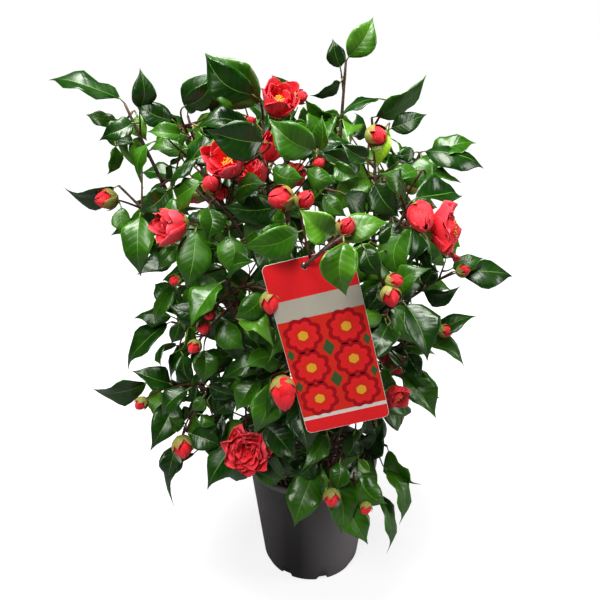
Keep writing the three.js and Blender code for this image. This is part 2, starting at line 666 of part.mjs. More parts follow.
// Leaves along one twig or stem, set round it by the leaf spiral, and one at its tip
function growLeaves(limb, bar, number, from) {
  const { curve, owner } = bar;
  const owners = [owner, limb.name];
  const tip = pointOn(curve, 1);
  const last = bar.reach
    ? leafTo(tip, bar.reach)
    : makeLeaf(tip, headingOn(curve, 1).addScaledVector(UP, number(-0.5, 0.1)).normalize(),
      radians(number(-25, 25)), LEAF_LENGTH * number(0.72, 0.98));
  if (bar.reach || leafFits(limb, last, owners)) {
    placeLeaf(limb, last);
    bar.carries = true;
  }
  const span = curve.getLength() * (1 - from);
  const count = Math.floor(span / LEAF_SPACING);
  for (let i = 0; i < count; i += 1) {
    const share = from + ((1 - from) * (i + 0.35)) / count;
    const along = headingOn(curve, share);
    for (let attempt = 0; attempt < LEAF_TRIES; attempt += 1) {
      const spin = radians(GOLDEN_ANGLE * i + limb.turn + number(-28, 28) * (1 + attempt));
      const aside = sidewaysOf(curve).applyAxisAngle(along, spin);
      const angle = radians(LEAF_ANGLE + number(-14, 14));
      const heading = along.clone().multiplyScalar(Math.cos(angle));
      heading.addScaledVector(aside, Math.sin(angle)).addScaledVector(UP, number(-1, -0.2));
      const leaf = makeLeaf(pointOn(curve, share), heading.normalize(), radians(number(-28, 28)),
        LEAF_LENGTH * number(0.78, 1.08));
      if (leafFits(limb, leaf, owners)) {
        placeLeaf(limb, leaf);
        bar.carries = true;
        break;
      }
    }
  }
}

// Blossom solids
function setOut(geometry, place, face) {
  const turn = new THREE.Quaternion().setFromUnitVectors(UP, face);
  geometry.applyQuaternion(turn);
  geometry.translate(place.x, place.y, place.z);
  return solidOf(geometry);
}

function bloomSolid({ place, face, width }) {
  const profile = [[0, -0.34], [0.24, -0.26], [0.48, 0.04], [0.44, 0.22], [0, 0.1]];
  const points = profile.map(([radius, height]) => new THREE.Vector2(radius * width, height * width));
  const geometry = new THREE.LatheGeometry(points, BLOOM_SIDES);
  geometry.rotateX(Math.PI / 2);
  return setOut(geometry, place, face);
}

function budSolid({ place, face, length }) {
  const geometry = new THREE.SphereGeometry(length * 0.36, 5, 3);
  geometry.rotateX(Math.PI / 2);
  geometry.scale(1, 1, 1.4);
  return setOut(geometry, place, face);
}

function foliageSolid(limb) {
  const bars = [barAlong(limb.stem, limb.stemRadiusAt, 3, STEM_STEPS)];
  for (const twig of limb.twigs.filter(({ carries }) => carries)) {
    bars.push(barAlong(twig.curve, twig.radiusAt, 3, 1));
  }
  const blossom = limb.blossom.map(bloomSolid).concat(limb.buds.map(budSolid));
  return joined([...bars, ...blossom, ...limb.leaves.map(leafSolid)]);
}

// The hanging card, with the bough that holds it through its hole
function cardOutline() {
  const [x, y] = [CARD_WIDTH / 2, CARD_HEIGHT / 2];
  const outline = new THREE.Shape();
  outline.moveTo(-x + CARD_CORNER, -y);
  outline.lineTo(x - CARD_CORNER, -y);
  outline.absarc(x - CARD_CORNER, -y + CARD_CORNER, CARD_CORNER, -Math.PI / 2, 0);
  outline.absarc(x - CARD_CORNER, y - CARD_CORNER, CARD_CORNER, 0, Math.PI / 2);
  outline.absarc(-x + CARD_CORNER, y - CARD_CORNER, CARD_CORNER, Math.PI / 2, Math.PI);
  outline.absarc(-x + CARD_CORNER, -y + CARD_CORNER, CARD_CORNER, Math.PI, Math.PI * 1.5);
  return outline;
}

function setCard(geometry) {
  geometry.rotateX(Math.PI / 2);
  geometry.rotateY(radians(CARD_TURN));
  geometry.translate(...CARD_MIDDLE);
  return geometry;
}

function cardSolid() {
  const sheet = new THREE.ExtrudeGeometry(cardOutline(),
    { depth: CARD_THICKNESS, bevelEnabled: false, curveSegments: 3 });
  const { stem, stemRadiusAt } = carriers.front;
  const hole = barAlong(stem, (share) => stemRadiusAt(share) + CARD_HOLE_PLAY, 8, STEM_STEPS);
  return largestBody(solidOf(setCard(sheet)).subtract(hole));
}

// A box in the card's own directions, from its low corner to its high one, that stays free of leaves
function takeCardBox(low, high) {
  const sides = [low, high];
  const corners = [];
  for (const level of [0, 1]) {
    for (const [x, y] of [[0, 0], [1, 0], [1, 1], [0, 1]]) {
      corners.push(sides[x][0], sides[y][1], sides[level][2]);
    }
  }
  const box = new THREE.BufferGeometry();
  box.setAttribute('position', new THREE.Float32BufferAttribute(corners, 3));
  const places = setCard(box).attributes.position;
  const points = Array.from({ length: 8 }, (_, i) => new THREE.Vector3().fromBufferAttribute(places, i));
  taken.push(patchOf(points, BOX_FACES, BOX_EDGES, 'card'));
}

function takeCard() {
  const [x, y] = [CARD_WIDTH / 2 + CARD_MARGIN, CARD_HEIGHT / 2 + CARD_MARGIN];
  takeCardBox([-x, -y, -CARD_MARGIN], [x, y, CARD_THICKNESS + CARD_MARGIN]);
  for (let depth = 8; depth <= CARD_VIEW_DEPTH; depth += 10) {
    takeCardBox([-x, -y, depth - 1], [x, y - CARD_COVERED_TOP, depth + 1]);
  }
}

// Growth, in order: limbs, card, blossom, twigs, leaves
takeBar(trunk.curve, trunk.radiusAt, 3, 1, 'trunk');
limbs.forEach((limb, order) => {
  limb.twigs = [];
  limb.leaves = [];
  limb.blossom = [];
  limb.buds = [];
  limb.turn = order * 47;
  limb.number = numbersFrom(101 + order * 7919);
  const gap = SEAT_GAP / limb.curve.getLength();
  limb.stem = partOf(limb.curve, limb.bare + gap, 1);
  limb.stemRadiusAt = (share) => limb.radiusAt(limb.bare + share * (1 - limb.bare));
  takeBar(partOf(limb.curve, 0, limb.bare), (share) => limb.radiusAt(share * limb.bare), 5, 1,
    `${limb.name} bough`);
  takeBar(limb.stem, limb.stemRadiusAt, 4, 1, limb.name);
});
takeCard();
growBlossom();
limbs.forEach(growShoots);
limbs.forEach((limb) => growFreeTwigs(limb, limb.number));
limbs.forEach((limb) => {
  const stem = { curve: limb.stem, owner: limb.name, reach: vector(limb.leaf) };
  growLeaves(limb, stem, limb.number, 0.45);
  limb.twigs.filter((twig) => twig.reach).forEach((twig) => growLeaves(limb, twig, limb.number, 0.3));
});
limbs.forEach((limb) => {
  limb.twigs.filter((twig) => !twig.reach).forEach((twig) => growLeaves(limb, twig, limb.number, 0.3));
});

const shrub = new THREE.Group();
shrub.name = 'camellia_shrub';
shrub.add(meshOf('pot', potSolid(), finishes.potPlastic));
shrub.add(meshOf('soil', soilSolid(), finishes.soil));
shrub.add(meshOf('trunk', bareSolid(trunk, 0), finishes.bark));
for (const limb of limbs) {
  shrub.add(meshOf(`bough_${limb.name}`, boughSolid(limb), finishes.bark));
  shrub.add(meshOf(`foliage_${limb.name}`, foliageSolid(limb), finishes.foliage));
}
shrub.add(meshOf('label', cardSolid(), finishes.card));

export default shrub;
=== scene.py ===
# Camellia shrub in its nursery pot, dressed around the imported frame.
# Metres, +Z up. The origin is the middle of the pot's underside, and the front of the shrub faces -Y.
# Growth is worked out in millimetres, and each mesh is turned into metres as it is made.

import math

import bmesh
import bpy
import numpy as np
from mathutils import Matrix, Vector, noise
from mathutils.bvhtree import BVHTree


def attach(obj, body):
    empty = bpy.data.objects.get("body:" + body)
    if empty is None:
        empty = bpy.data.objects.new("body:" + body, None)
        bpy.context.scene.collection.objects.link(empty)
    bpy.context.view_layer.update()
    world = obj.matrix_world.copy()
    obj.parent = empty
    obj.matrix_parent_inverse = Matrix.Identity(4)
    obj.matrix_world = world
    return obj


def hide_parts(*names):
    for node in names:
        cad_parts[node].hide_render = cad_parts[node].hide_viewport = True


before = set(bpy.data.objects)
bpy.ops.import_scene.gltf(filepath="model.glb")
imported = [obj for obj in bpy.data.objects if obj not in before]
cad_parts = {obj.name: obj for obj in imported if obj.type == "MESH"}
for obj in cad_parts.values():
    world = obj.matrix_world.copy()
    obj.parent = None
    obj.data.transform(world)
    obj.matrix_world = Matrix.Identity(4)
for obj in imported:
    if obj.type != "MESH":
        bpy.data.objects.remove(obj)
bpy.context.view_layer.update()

MM = 0.001
UP = Vector((0, 0, 1))

# Sizes of the pot and the soil, in millimetres
POT_HEIGHT = 172
RIM_RADIUS = 95
FOOT_RADIUS = 67
FOOT_CHAMFER = 4
CHAMFER_TOP = FOOT_RADIUS * 0.13
POT_WALL = 2.4
RIM_BAND = 9
RIM_OVERHANG = 3.4
STACKING_RING = 22
POT_STEPS = 128
POT_EDGE_ROUNDING = 0.5
DRAIN_NOTCHES = 8
NOTCH_WIDTH = 13
NOTCH_HEIGHT = 7
NOTCH_TURN = 0.3
SOIL_BELOW_RIM = 14
SOIL_TOP = POT_HEIGHT - SOIL_BELOW_RIM
SOIL_UNDERSIDE = 60
SOIL_DIP = 2.6
SOIL_SWELL = 1.1
SOIL_GRAIN = 0.9
SOIL_STEPS = 72
CRUMBS = 2600
CRUMB_TO_WALL = 3
CRUMB_SIZES = (0.5, 1.5)
CRUMB_SPREAD = 1.6
CRUMB_LIFT = 0.3
DARK_CRUMBS = 0.55
BROWN_CRUMBS = 0.86
SEAT_GAP = 0.3

# Sizes of the wood
TRUNK_FORK_HEIGHT = 262
TRUNK_LEAN = (5, 3)
TRUNK_FOOT_RADIUS = 15
TRUNK_FLARE_HEIGHT = 30
TRUNK_RADIUS = 8.4
TRUNK_TIP_RADIUS = 6
STEM_TIP_RADIUS = 1.5
TWIG_RADIUS = 1.5
TWIG_TIP_RADIUS = 0.8
SPRIG_RADIUS = 1.1
YOUNG_WOOD_RADIUS = 1.3
LEAST_TWIG = 10
IN_FRONT_COUNTS = 0.8
WOOD_CLEARANCE = 1
TWIG_ROOM = (2, 1.8, 1.6)

# Sizes of the leaves. Rise, droop and fall are shares of the length.
LEAF_LENGTH = 70
LEAF_WIDTH_SHARE = 0.52
LEAF_THICKNESS = 0.4
LEAF_MIDDLE = 0.44
LEAF_FORWARD = 0.985
LEAF_RISE = 0.444
LEAF_DROOP = 0.544
LEAF_FALL = 0.1
LEAF_CREST = LEAF_RISE * LEAF_MIDDLE - LEAF_DROOP * LEAF_MIDDLE ** 2
LEAF_RIDGE = 0.02
LEAF_STALK = 6
LEAF_STALK_SUNK = 2
LEAF_STALK_RADII = (0.9, 0.75)
LEAF_ROOT = 0.2
LEAF_SPACING = 12
LEAF_ANGLE = 56
LEAF_CLEARANCE = 0.5
LEAF_TRIES = 8
HOOK_START = 0.72
HOOK_POWER = 1.5
HOOK_FALL = (1 - HOOK_START) ** HOOK_POWER

# The outer leaves, whose tips are given, and the large ones in front
OUTER_HOOK = (0.1, 0.75)
OUTER_BOW = -0.06
OUTER_BREADTH = (0.95, 1.12)
OUTER_ROLL = (-0.1, 0.1)
OUTER_LIFTED_SHARE = 0.6
OUTER_DARK_SHARE = 0.7
FRONT_BEND = 0.25
FRONT_VIEW = 0.3
FRONT_VIEW_SHARES = (0.35, 0.7)

# The tones of leaves, and the share of the free leaves up to which each goes
DARK, MID, BRIGHT, YOUNG, FRESH = range(5)
TONE_SHARES = [(0.5, DARK), (0.82, MID), (0.96, FRESH), (1, BRIGHT)]

# How one leaf differs from the next
FOLD = (0.1, 0.78)
CURL = (-0.65, 0.0)
TWIST = (-1.1, 1.1)
BEND = (-0.09, 0.09)
WAVE = (0.06, 0.3)
HOOK = (0.1, 1.3)
ARCH = (0.03, 0.16)
BREADTH = (0.78, 1.02)
HOOKED_TWIST_SHARE = 0.45
HOOKED_ARCH_LESS = 0.08
TWIST_START = 0.3
WAVE_ALONG = 12
LEAF_TURN = (-28, 28)
LEAF_LEAN = (-14, 14)
LEAF_SINK = (-1.1, -0.2)
LEAF_ROLL = (-28, 28)
LENGTH_SHARE = (0.76, 1.1)
TIP_SINK = (-0.6, 0)
TIP_ROLL = (-25, 25)
TIP_LENGTH_SHARE = (0.72, 0.98)

# Sizes of the growth: angles in degrees, lengths in millimetres
TWIG_ANGLE = 52
TWIG_TURN = (-30, 30)
TWIG_LEAN = (-10, 10)
TWIG_LIFT = 0.12
TWIG_LENGTH = (46, 84)
SPRIG_LENGTH = (22, 40)
SHOOT_LEAF = 68
SHOOT_LEAF_SHARE = 0.75
SHOOT_RISE = 9
SHOOT_BELOW = 0.3
SHOOT_SPAN = (0.08, 0.85)
SHOOT_LIMITS = (0.05, 0.95)
SHOOT_SHIFTS = (0, 0.08, -0.08, 0.16, -0.16, 0.24, -0.24, 0.32, -0.32)
MASS_REACH = 104
GOLDEN_ANGLE = 137.5
GOLDEN_TURN = math.radians(GOLDEN_ANGLE)
LIMB_TURN = 47
MOST_PATCHES = 12000

# Where twigs and leaves sit on the wood that carries them, as shares of its length
TWIG_FIRST = 0.1
TWIG_SPREAD = 0.8
TWIG_STRAY = (0, 0.6)
STEM_LEAVES_FROM = 0.2
TWIG_LEAVES_FROM = 0.25
LEAF_IN_STEP = 0.35
PAST_LAST_LEAF = 0.03

# Where each row of random numbers starts
LIMB_SEED = 347
LIMB_SEED_STEP = 7919
FRONT_SEED = 909
LOOKS_SEED = 4242
PETAL_SEED = 777
CRUMB_SEED = 31

# The light that leaves turn to comes from above and from outside the crown, most of it from in front.
LIGHT_FROM_ABOVE = 0.55
LIGHT_FROM_OUTSIDE = 0.85
LIGHT_FROM_SIDES = 0.7
LIGHT_BEHIND = 40

# Free leaves keep inside a rounded barrel, and only the named leaf tips reach past it.
CROWN_MIDDLE = Vector((-24, -10, 422))
CROWN_RADIUS = 218
CROWN_HALF_HEIGHT = 298
LEAF_TO_POT = 4
TWIG_TO_POT = 12

# The crown as the viewer sees it against its middle plane: how far the close foliage reaches to the left
# and to the right at each height, and the gaps that show sky or leave the pot open, as place and radius.
VIEWER = Vector((-17, -778, 686))
VIEWER_PITCH = 19.7
VIEW_DEPTH = 12
OUTER_VIEW = 12
CLOSE_FOLIAGE = [(662, -129, -10), (645, -207, 96), (627, -227, 105), (604, -229, 134), (580, -225, 142),
                 (556, -217, 122), (537, -223, 123), (505, -235, 160), (472, -235, 163), (439, -189, 165),
                 (411, -195, 130), (383, -197, 156), (354, -219, 158), (324, -235, 153), (294, -252, 165),
                 (263, -243, 167), (231, -229, 124), (198, -217, 105), (165, -213, 96), (130, -142, 122),
                 (95, -39, 109), (59, -32, 96)]
GAPS = [((-162, 173), 17), ((-208, 447), 13), ((-186, 441), 10), ((-196, 374), 14), ((-221, 201), 13),
        ((-102, 663), 11), ((-69, 646), 10), ((-11, 650), 9), ((35, 655), 12), ((53, 640), 10),
        ((105, 623), 12), ((-137, 653), 9), ((104, 171), 13), ((-197, 321), 12), ((-194, 587), 10),
        ((130, 557), 10), ((161, 405), 16), ((162, 342), 12), ((-253, 252), 11), ((117, 86), 12),
        ((135, 111), 12), ((-147, 360), 9), ((-134, 260), 9), ((-90, 447), 8), ((66, 513), 9),
        ((-74, 95), 30), ((-32, 73), 30), ((-93, 130), 13), ((6, 22), 52)]

# Sizes of the hanging card, its hole and its print, and of the room in front of it
CARD_WIDTH = 90
CARD_HEIGHT = 192
CARD_CORNER = 6
CARD_THICKNESS = 0.8
CARD_MARGIN = 2
CARD_VIEW = 20
CARD_VIEW_ACROSS = (-0.4, -0.1, 0.2)
CARD_VIEW_UP = 0.38
CARD_VIEW_DEPTH = 58
CARD_NEAREST_BOX = 8
CARD_BOX_STEP = 10
CARD_COVERED_TOP = 46
CARD_TURN = -14
CARD_MIDDLE = Vector((11.5, -200, 431))
HOLE_RADIUS = 3.4
PRINT_THICKNESS = 0.06
PRINT_MARGIN = 0.4
HEADER_HEIGHT = 40
BAND_HEIGHT = 22
FOOTER_HEIGHT = 16
FOOTER_GAP = 4

# Each limb: name, carrier, where it leaves it, bare share, first climb and swing, radius, free twigs,
# tip of its stem, tip of its last leaf and tips of its other outer leaves.
LIMBS = [
    ("top", "trunk", 1, 0.74, 0.1, 0, 5.6, 4, (36, -10, 704), (66, -6, 751), [(20, -16, 728)]),
    ("top_left", "trunk", 0.52, 0.74, -0.2, 0, 5.2, 4, (-208, -70, 660), (-287, -70, 684),
     [(-186, -80, 696), (-240, -50, 622)]),
    ("top_centre", "trunk", 0.68, 0.72, -0.45, 0, 5, 4, (-57, -95, 657), (-114, -95, 710), [(-8, -130, 640)]),
    ("top_right", "trunk", 0.76, 0.72, -0.7, 0, 5.2, 5, (66, -30, 643), (127, -30, 692), [(128, -40, 647)]),
    ("top_back", "trunk", 0.6, 0.7, -0.45, 0, 5.2, 6, (-40, 108, 640), (-58, 150, 690), [(-100, 86, 668)]),
    ("top_centre_left", "top_left", 0.62, 0.45, 0.5, 0, 2.8, 5, (-147, -30, 645), (-108, -50, 694),
     [(-196, 0, 640)]),
    ("upper_left", "top_left", 0.48, 0.5, 0.2, 0, 2.8, 4, (-232, -40, 566), (-296, -45, 565),
     [(-238, -70, 513), (-206, -90, 471)]),
    ("mid_left", "top_left", 0.3, 0.5, 0.4, 0, 2.8, 4, (-186, -20, 384), (-244, -40, 322),
     [(-232, -30, 393), (-216, 30, 420)]),
    ("low_left", "trunk", 0.34, 0.46, 0.5, 0, 3, 4, (-210, -60, 318), (-285, -62, 308),
     [(-203, -116, 250), (-178, -122, 172)]),
    ("upper_front_left", "top_centre", 0.52, 0.5, 0.3, 0, 2.8, 4, (-112, -150, 588), (-146, -112, 562),
     [(-48, -188, 592)]),
    ("mid_front_left", "top_left", 0.42, 0.5, 0.3, 0, 2.8, 4, (-96, -160, 486), (-128, -196, 448),
     [(-60, -204, 520)]),
    ("front", "top_centre", 0.44, 0.78, -0.05, -0.72, 2.8, 2, (22, -235, 552), (25, -248, 500),
     [(66, -214, 560)]),
    ("upper_front_right", "top_right", 0.5, 0.5, 0.3, 0, 2.8, 4, (98, -140, 566), (156, -92, 566),
     [(60, -176, 600)]),
    ("upper_right", "top_right", 0.6, 0.5, 0.4, 0, 2.8, 4, (124, -35, 604), (199, -40, 586),
     [(190, -30, 614), (169, -60, 572)]),
    ("right", "top_right", 0.38, 0.5, 0.3, 0, 2.8, 5, (179, -15, 451), (257, -14, 445), [(200, 40, 480)]),
    ("mid_front_right", "top_right", 0.26, 0.5, 0.4, 0, 2.8, 4, (92, -156, 462), (116, -190, 408),
     [(120, -160, 500)]),
    ("low_right", "top_right", 0.14, 0.5, 0.4, 0, 2.8, 4, (148, -50, 377), (205, -50, 404),
     [(194, -55, 337), (155, -90, 281)]),
    ("skirt_right", "trunk", 0.26, 0.5, 0.9, 0, 2.8, 4, (96, -84, 236), (142, -94, 184),
     [(110, -128, 148), (92, -152, 124)]),
    ("skirt_front", "trunk", 0.16, 0.5, 1.0, 0, 2.8, 3, (20, -136, 236), (32, -172, 170),
     [(-24, -166, 176), (66, -166, 150)]),
    ("low_front_left", "trunk", 0.42, 0.5, 0.6, 0, 2.8, 4, (-88, -128, 284), (-126, -166, 230),
     [(-40, -176, 300)]),
    ("low_front", "top_centre", 0.12, 0.5, 0.2, 0, 2.8, 4, (-34, -158, 388), (-52, -196, 340),
     [(30, -178, 330), (-78, -190, 400)]),
    ("upper_back_left", "top_back", 0.5, 0.5, 0.3, 0, 2.8, 4, (-176, 80, 556), (-240, 94, 560),
     [(-150, 150, 560)]),
    ("upper_back_right", "top", 0.4, 0.5, 0.3, 0, 2.8, 5, (124, 92, 556), (178, 130, 556),
     [(70, 170, 580), (178, 40, 590)]),
    ("mid_back_left", "top_back", 0.28, 0.5, 0.4, 0, 2.8, 4, (-162, 100, 420), (-226, 116, 396),
     [(-110, 180, 430)]),
    ("mid_back_right", "top", 0.2, 0.5, 0.4, 0, 2.8, 4, (138, 104, 410), (196, 128, 390), [(200, 60, 400)]),
    ("mid_back", "top_back", 0.38, 0.5, 0.3, 0, 2.8, 5, (10, 164, 470), (22, 224, 440), [(-44, 212, 500)]),
    ("low_back_left", "trunk", 0.22, 0.5, 0.8, 0, 2.8, 4, (-110, 94, 286), (-160, 134, 240),
     [(-186, 60, 290)]),
    ("low_back_right", "trunk", 0.3, 0.5, 0.7, 0, 2.8, 4, (110, 94, 292), (152, 134, 246), [(184, 60, 300)]),
]

# Blooms and buds: how far round its middle each stays in view, how far below its middle its foot is and how
# wide the room is that is kept at its mouth, as shares of its width or length
BLOOM_VIEW, BLOOM_DEPTH, BLOOM_MOUTH = 0.56, 0.3, 0.34
BUD_VIEW, BUD_DEPTH, BUD_MOUTH = 0.45, 0.4, 0.3

# The room of every bloom and bud in front of its middle and round its foot, as shares of its size, how far
# below it on the stem its twig starts, the lowest such start, and how much of the twig bends
BLOSSOM_FRONT = 0.9
BLOSSOM_FOOT = 0.3
BLOSSOM_BELOW = 0.25
BLOSSOM_LOWEST = 0.06
BLOSSOM_BEND = 0.22

# Open blooms: the mass that carries each, its middle, the way it faces, its width and how far it is open.
BLOOMS = [
    ("top_centre", (-39, -124, 661), (0.25, -0.6, 0.75), 42, 0.42),
    ("upper_front_left", (-86, -150, 604), (-0.3, -0.65, 0.6), 42, 0.42),
    ("upper_front_left", (-143, -158, 546), (-0.82, -0.55, 0.05), 38, 0.4),
    ("upper_front_right", (133, -156, 540), (0.94, -0.3, 0.14), 60, 0.74),
    ("mid_front_right", (92, -150, 347), (0.5, -0.7, -0.4), 34, 0.6),
    ("low_front_left", (-79, -178, 289), (-0.1, -0.95, 0.12), 57, 0.95),
    ("top_centre", (-66, -112, 583), (-0.2, -0.5, 0.8), 34, 0.3),
    ("top_centre", (-49, -110, 610), (0.3, -0.5, 0.8), 26, 0.3),
    ("top_back", (-30, 170, 548), (0.1, 0.9, 0.4), 46, 0.8),
    ("mid_back", (46, 200, 452), (0.3, 0.9, 0.2), 50, 1),
    ("upper_back_left", (-166, 124, 530), (-0.5, 0.8, 0.2), 44, 0.6),
    ("low_back_right", (130, 122, 256), (0.5, 0.8, 0), 44, 0.9),
]

# Closed buds: the mass that carries each, its middle, the way it faces and its length.
BUDS = [
    ("upper_front_right", (103, -172, 556), (0.1, -0.88, -0.42), 36),
    ("low_front", (-34, -204, 378), (0.15, -0.3, -0.9), 35),
    ("upper_front_left", (-104, -170, 589), (0.1, -0.8, 0.6), 20),
    ("upper_front_left", (-96, -156, 578), (0.4, -0.7, -0.4), 17),
    ("upper_front_left", (-35, -190, 578), (-0.9, -0.45, 0.15), 26),
    ("front", (-12, -200, 579), (0.5, -0.6, 0.6), 20),
    ("front", (25, -225, 559), (0.45, -0.5, 0.75), 19),
    ("top_right", (63, -110, 629), (0.65, -0.6, -0.45), 24),
    ("upper_left", (-240, -66, 554), (-0.95, -0.3, 0), 26),
    ("mid_front_right", (79, -180, 492), (0.9, -0.4, 0.2), 18),
    ("mid_front_right", (75, -185, 478), (0.3, -0.45, -0.85), 22),
    ("low_right", (164, -64, 389), (0.85, -0.45, -0.2), 18),
    ("mid_front_left", (-46, -196, 475), (0.1, -0.45, -0.9), 23),
    ("mid_front_left", (-110, -186, 458), (0, -0.9, 0.3), 14),
    ("mid_front_left", (-117, -180, 442), (0, -0.6, -0.8), 16),
    ("mid_front_left", (-130, -170, 415), (-0.5, -0.5, -0.7), 16),
    ("low_left", (-219, -80, 296), (-0.6, -0.3, -0.75), 18),
    ("low_left", (-160, -124, 261), (0.25, -0.5, -0.85), 28),
    ("skirt_front", (20, -176, 226), (0, -0.5, -0.85), 21),
    ("skirt_front", (61, -172, 208), (-0.3, -0.5, -0.8), 15),
    ("upper_front_left", (-156, -120, 473), (-0.9, -0.4, 0), 14),
    ("top_centre", (-16, -120, 668), (0.8, -0.5, 0.2), 15),
    ("top_centre", (2, -150, 606), (0.4, -0.8, 0.3), 13),
    ("top_centre", (-32, -150, 586), (0, -0.9, 0.3), 15),
    ("top_centre", (-70, -90, 642), (0.3, -0.7, 0.6), 14),
    ("right", (186, -40, 460), (0.9, -0.3, 0.3), 17),
    ("mid_back_left", (-186, 130, 386), (-0.7, 0.7, 0.3), 19),
    ("mid_back_right", (168, 130, 396), (0.7, 0.7, 0.3), 19),
    ("upper_back_right", (146, 124, 536), (0.7, 0.7, 0.4), 20),
]

# How broad the outer leaves of a limb look as a share of their length: its last leaf, then its others.
# A minus marks a leaf whose upper side is turned down. Bright tips count a limb's fresh green ones.
NARROW = 0.4
SEEN_BREADTHS = {
    "top": (0.58, 0.6), "top_left": (0.24, 0.55, 0.4), "top_centre": (0.6, 0.5), "top_right": (-0.28, 0.5),
    "upper_left": (-0.4, 0.4, 0.4), "mid_left": (0.36, 0.45, 0.5), "low_left": (-0.36, 0.5, 0.28),
    "front": (0.62, 0.5), "upper_right": (0.3, 0.42, 0.35), "low_right": (0.38, 0.28, 0.5),
    "skirt_right": (-0.36, 0.28, 0.2), "skirt_front": (0.5, 0.6, 0.5), "mid_front_right": (0.5, 0.5),
}
BRIGHT_TIPS = {"front": 2, "top": 1}

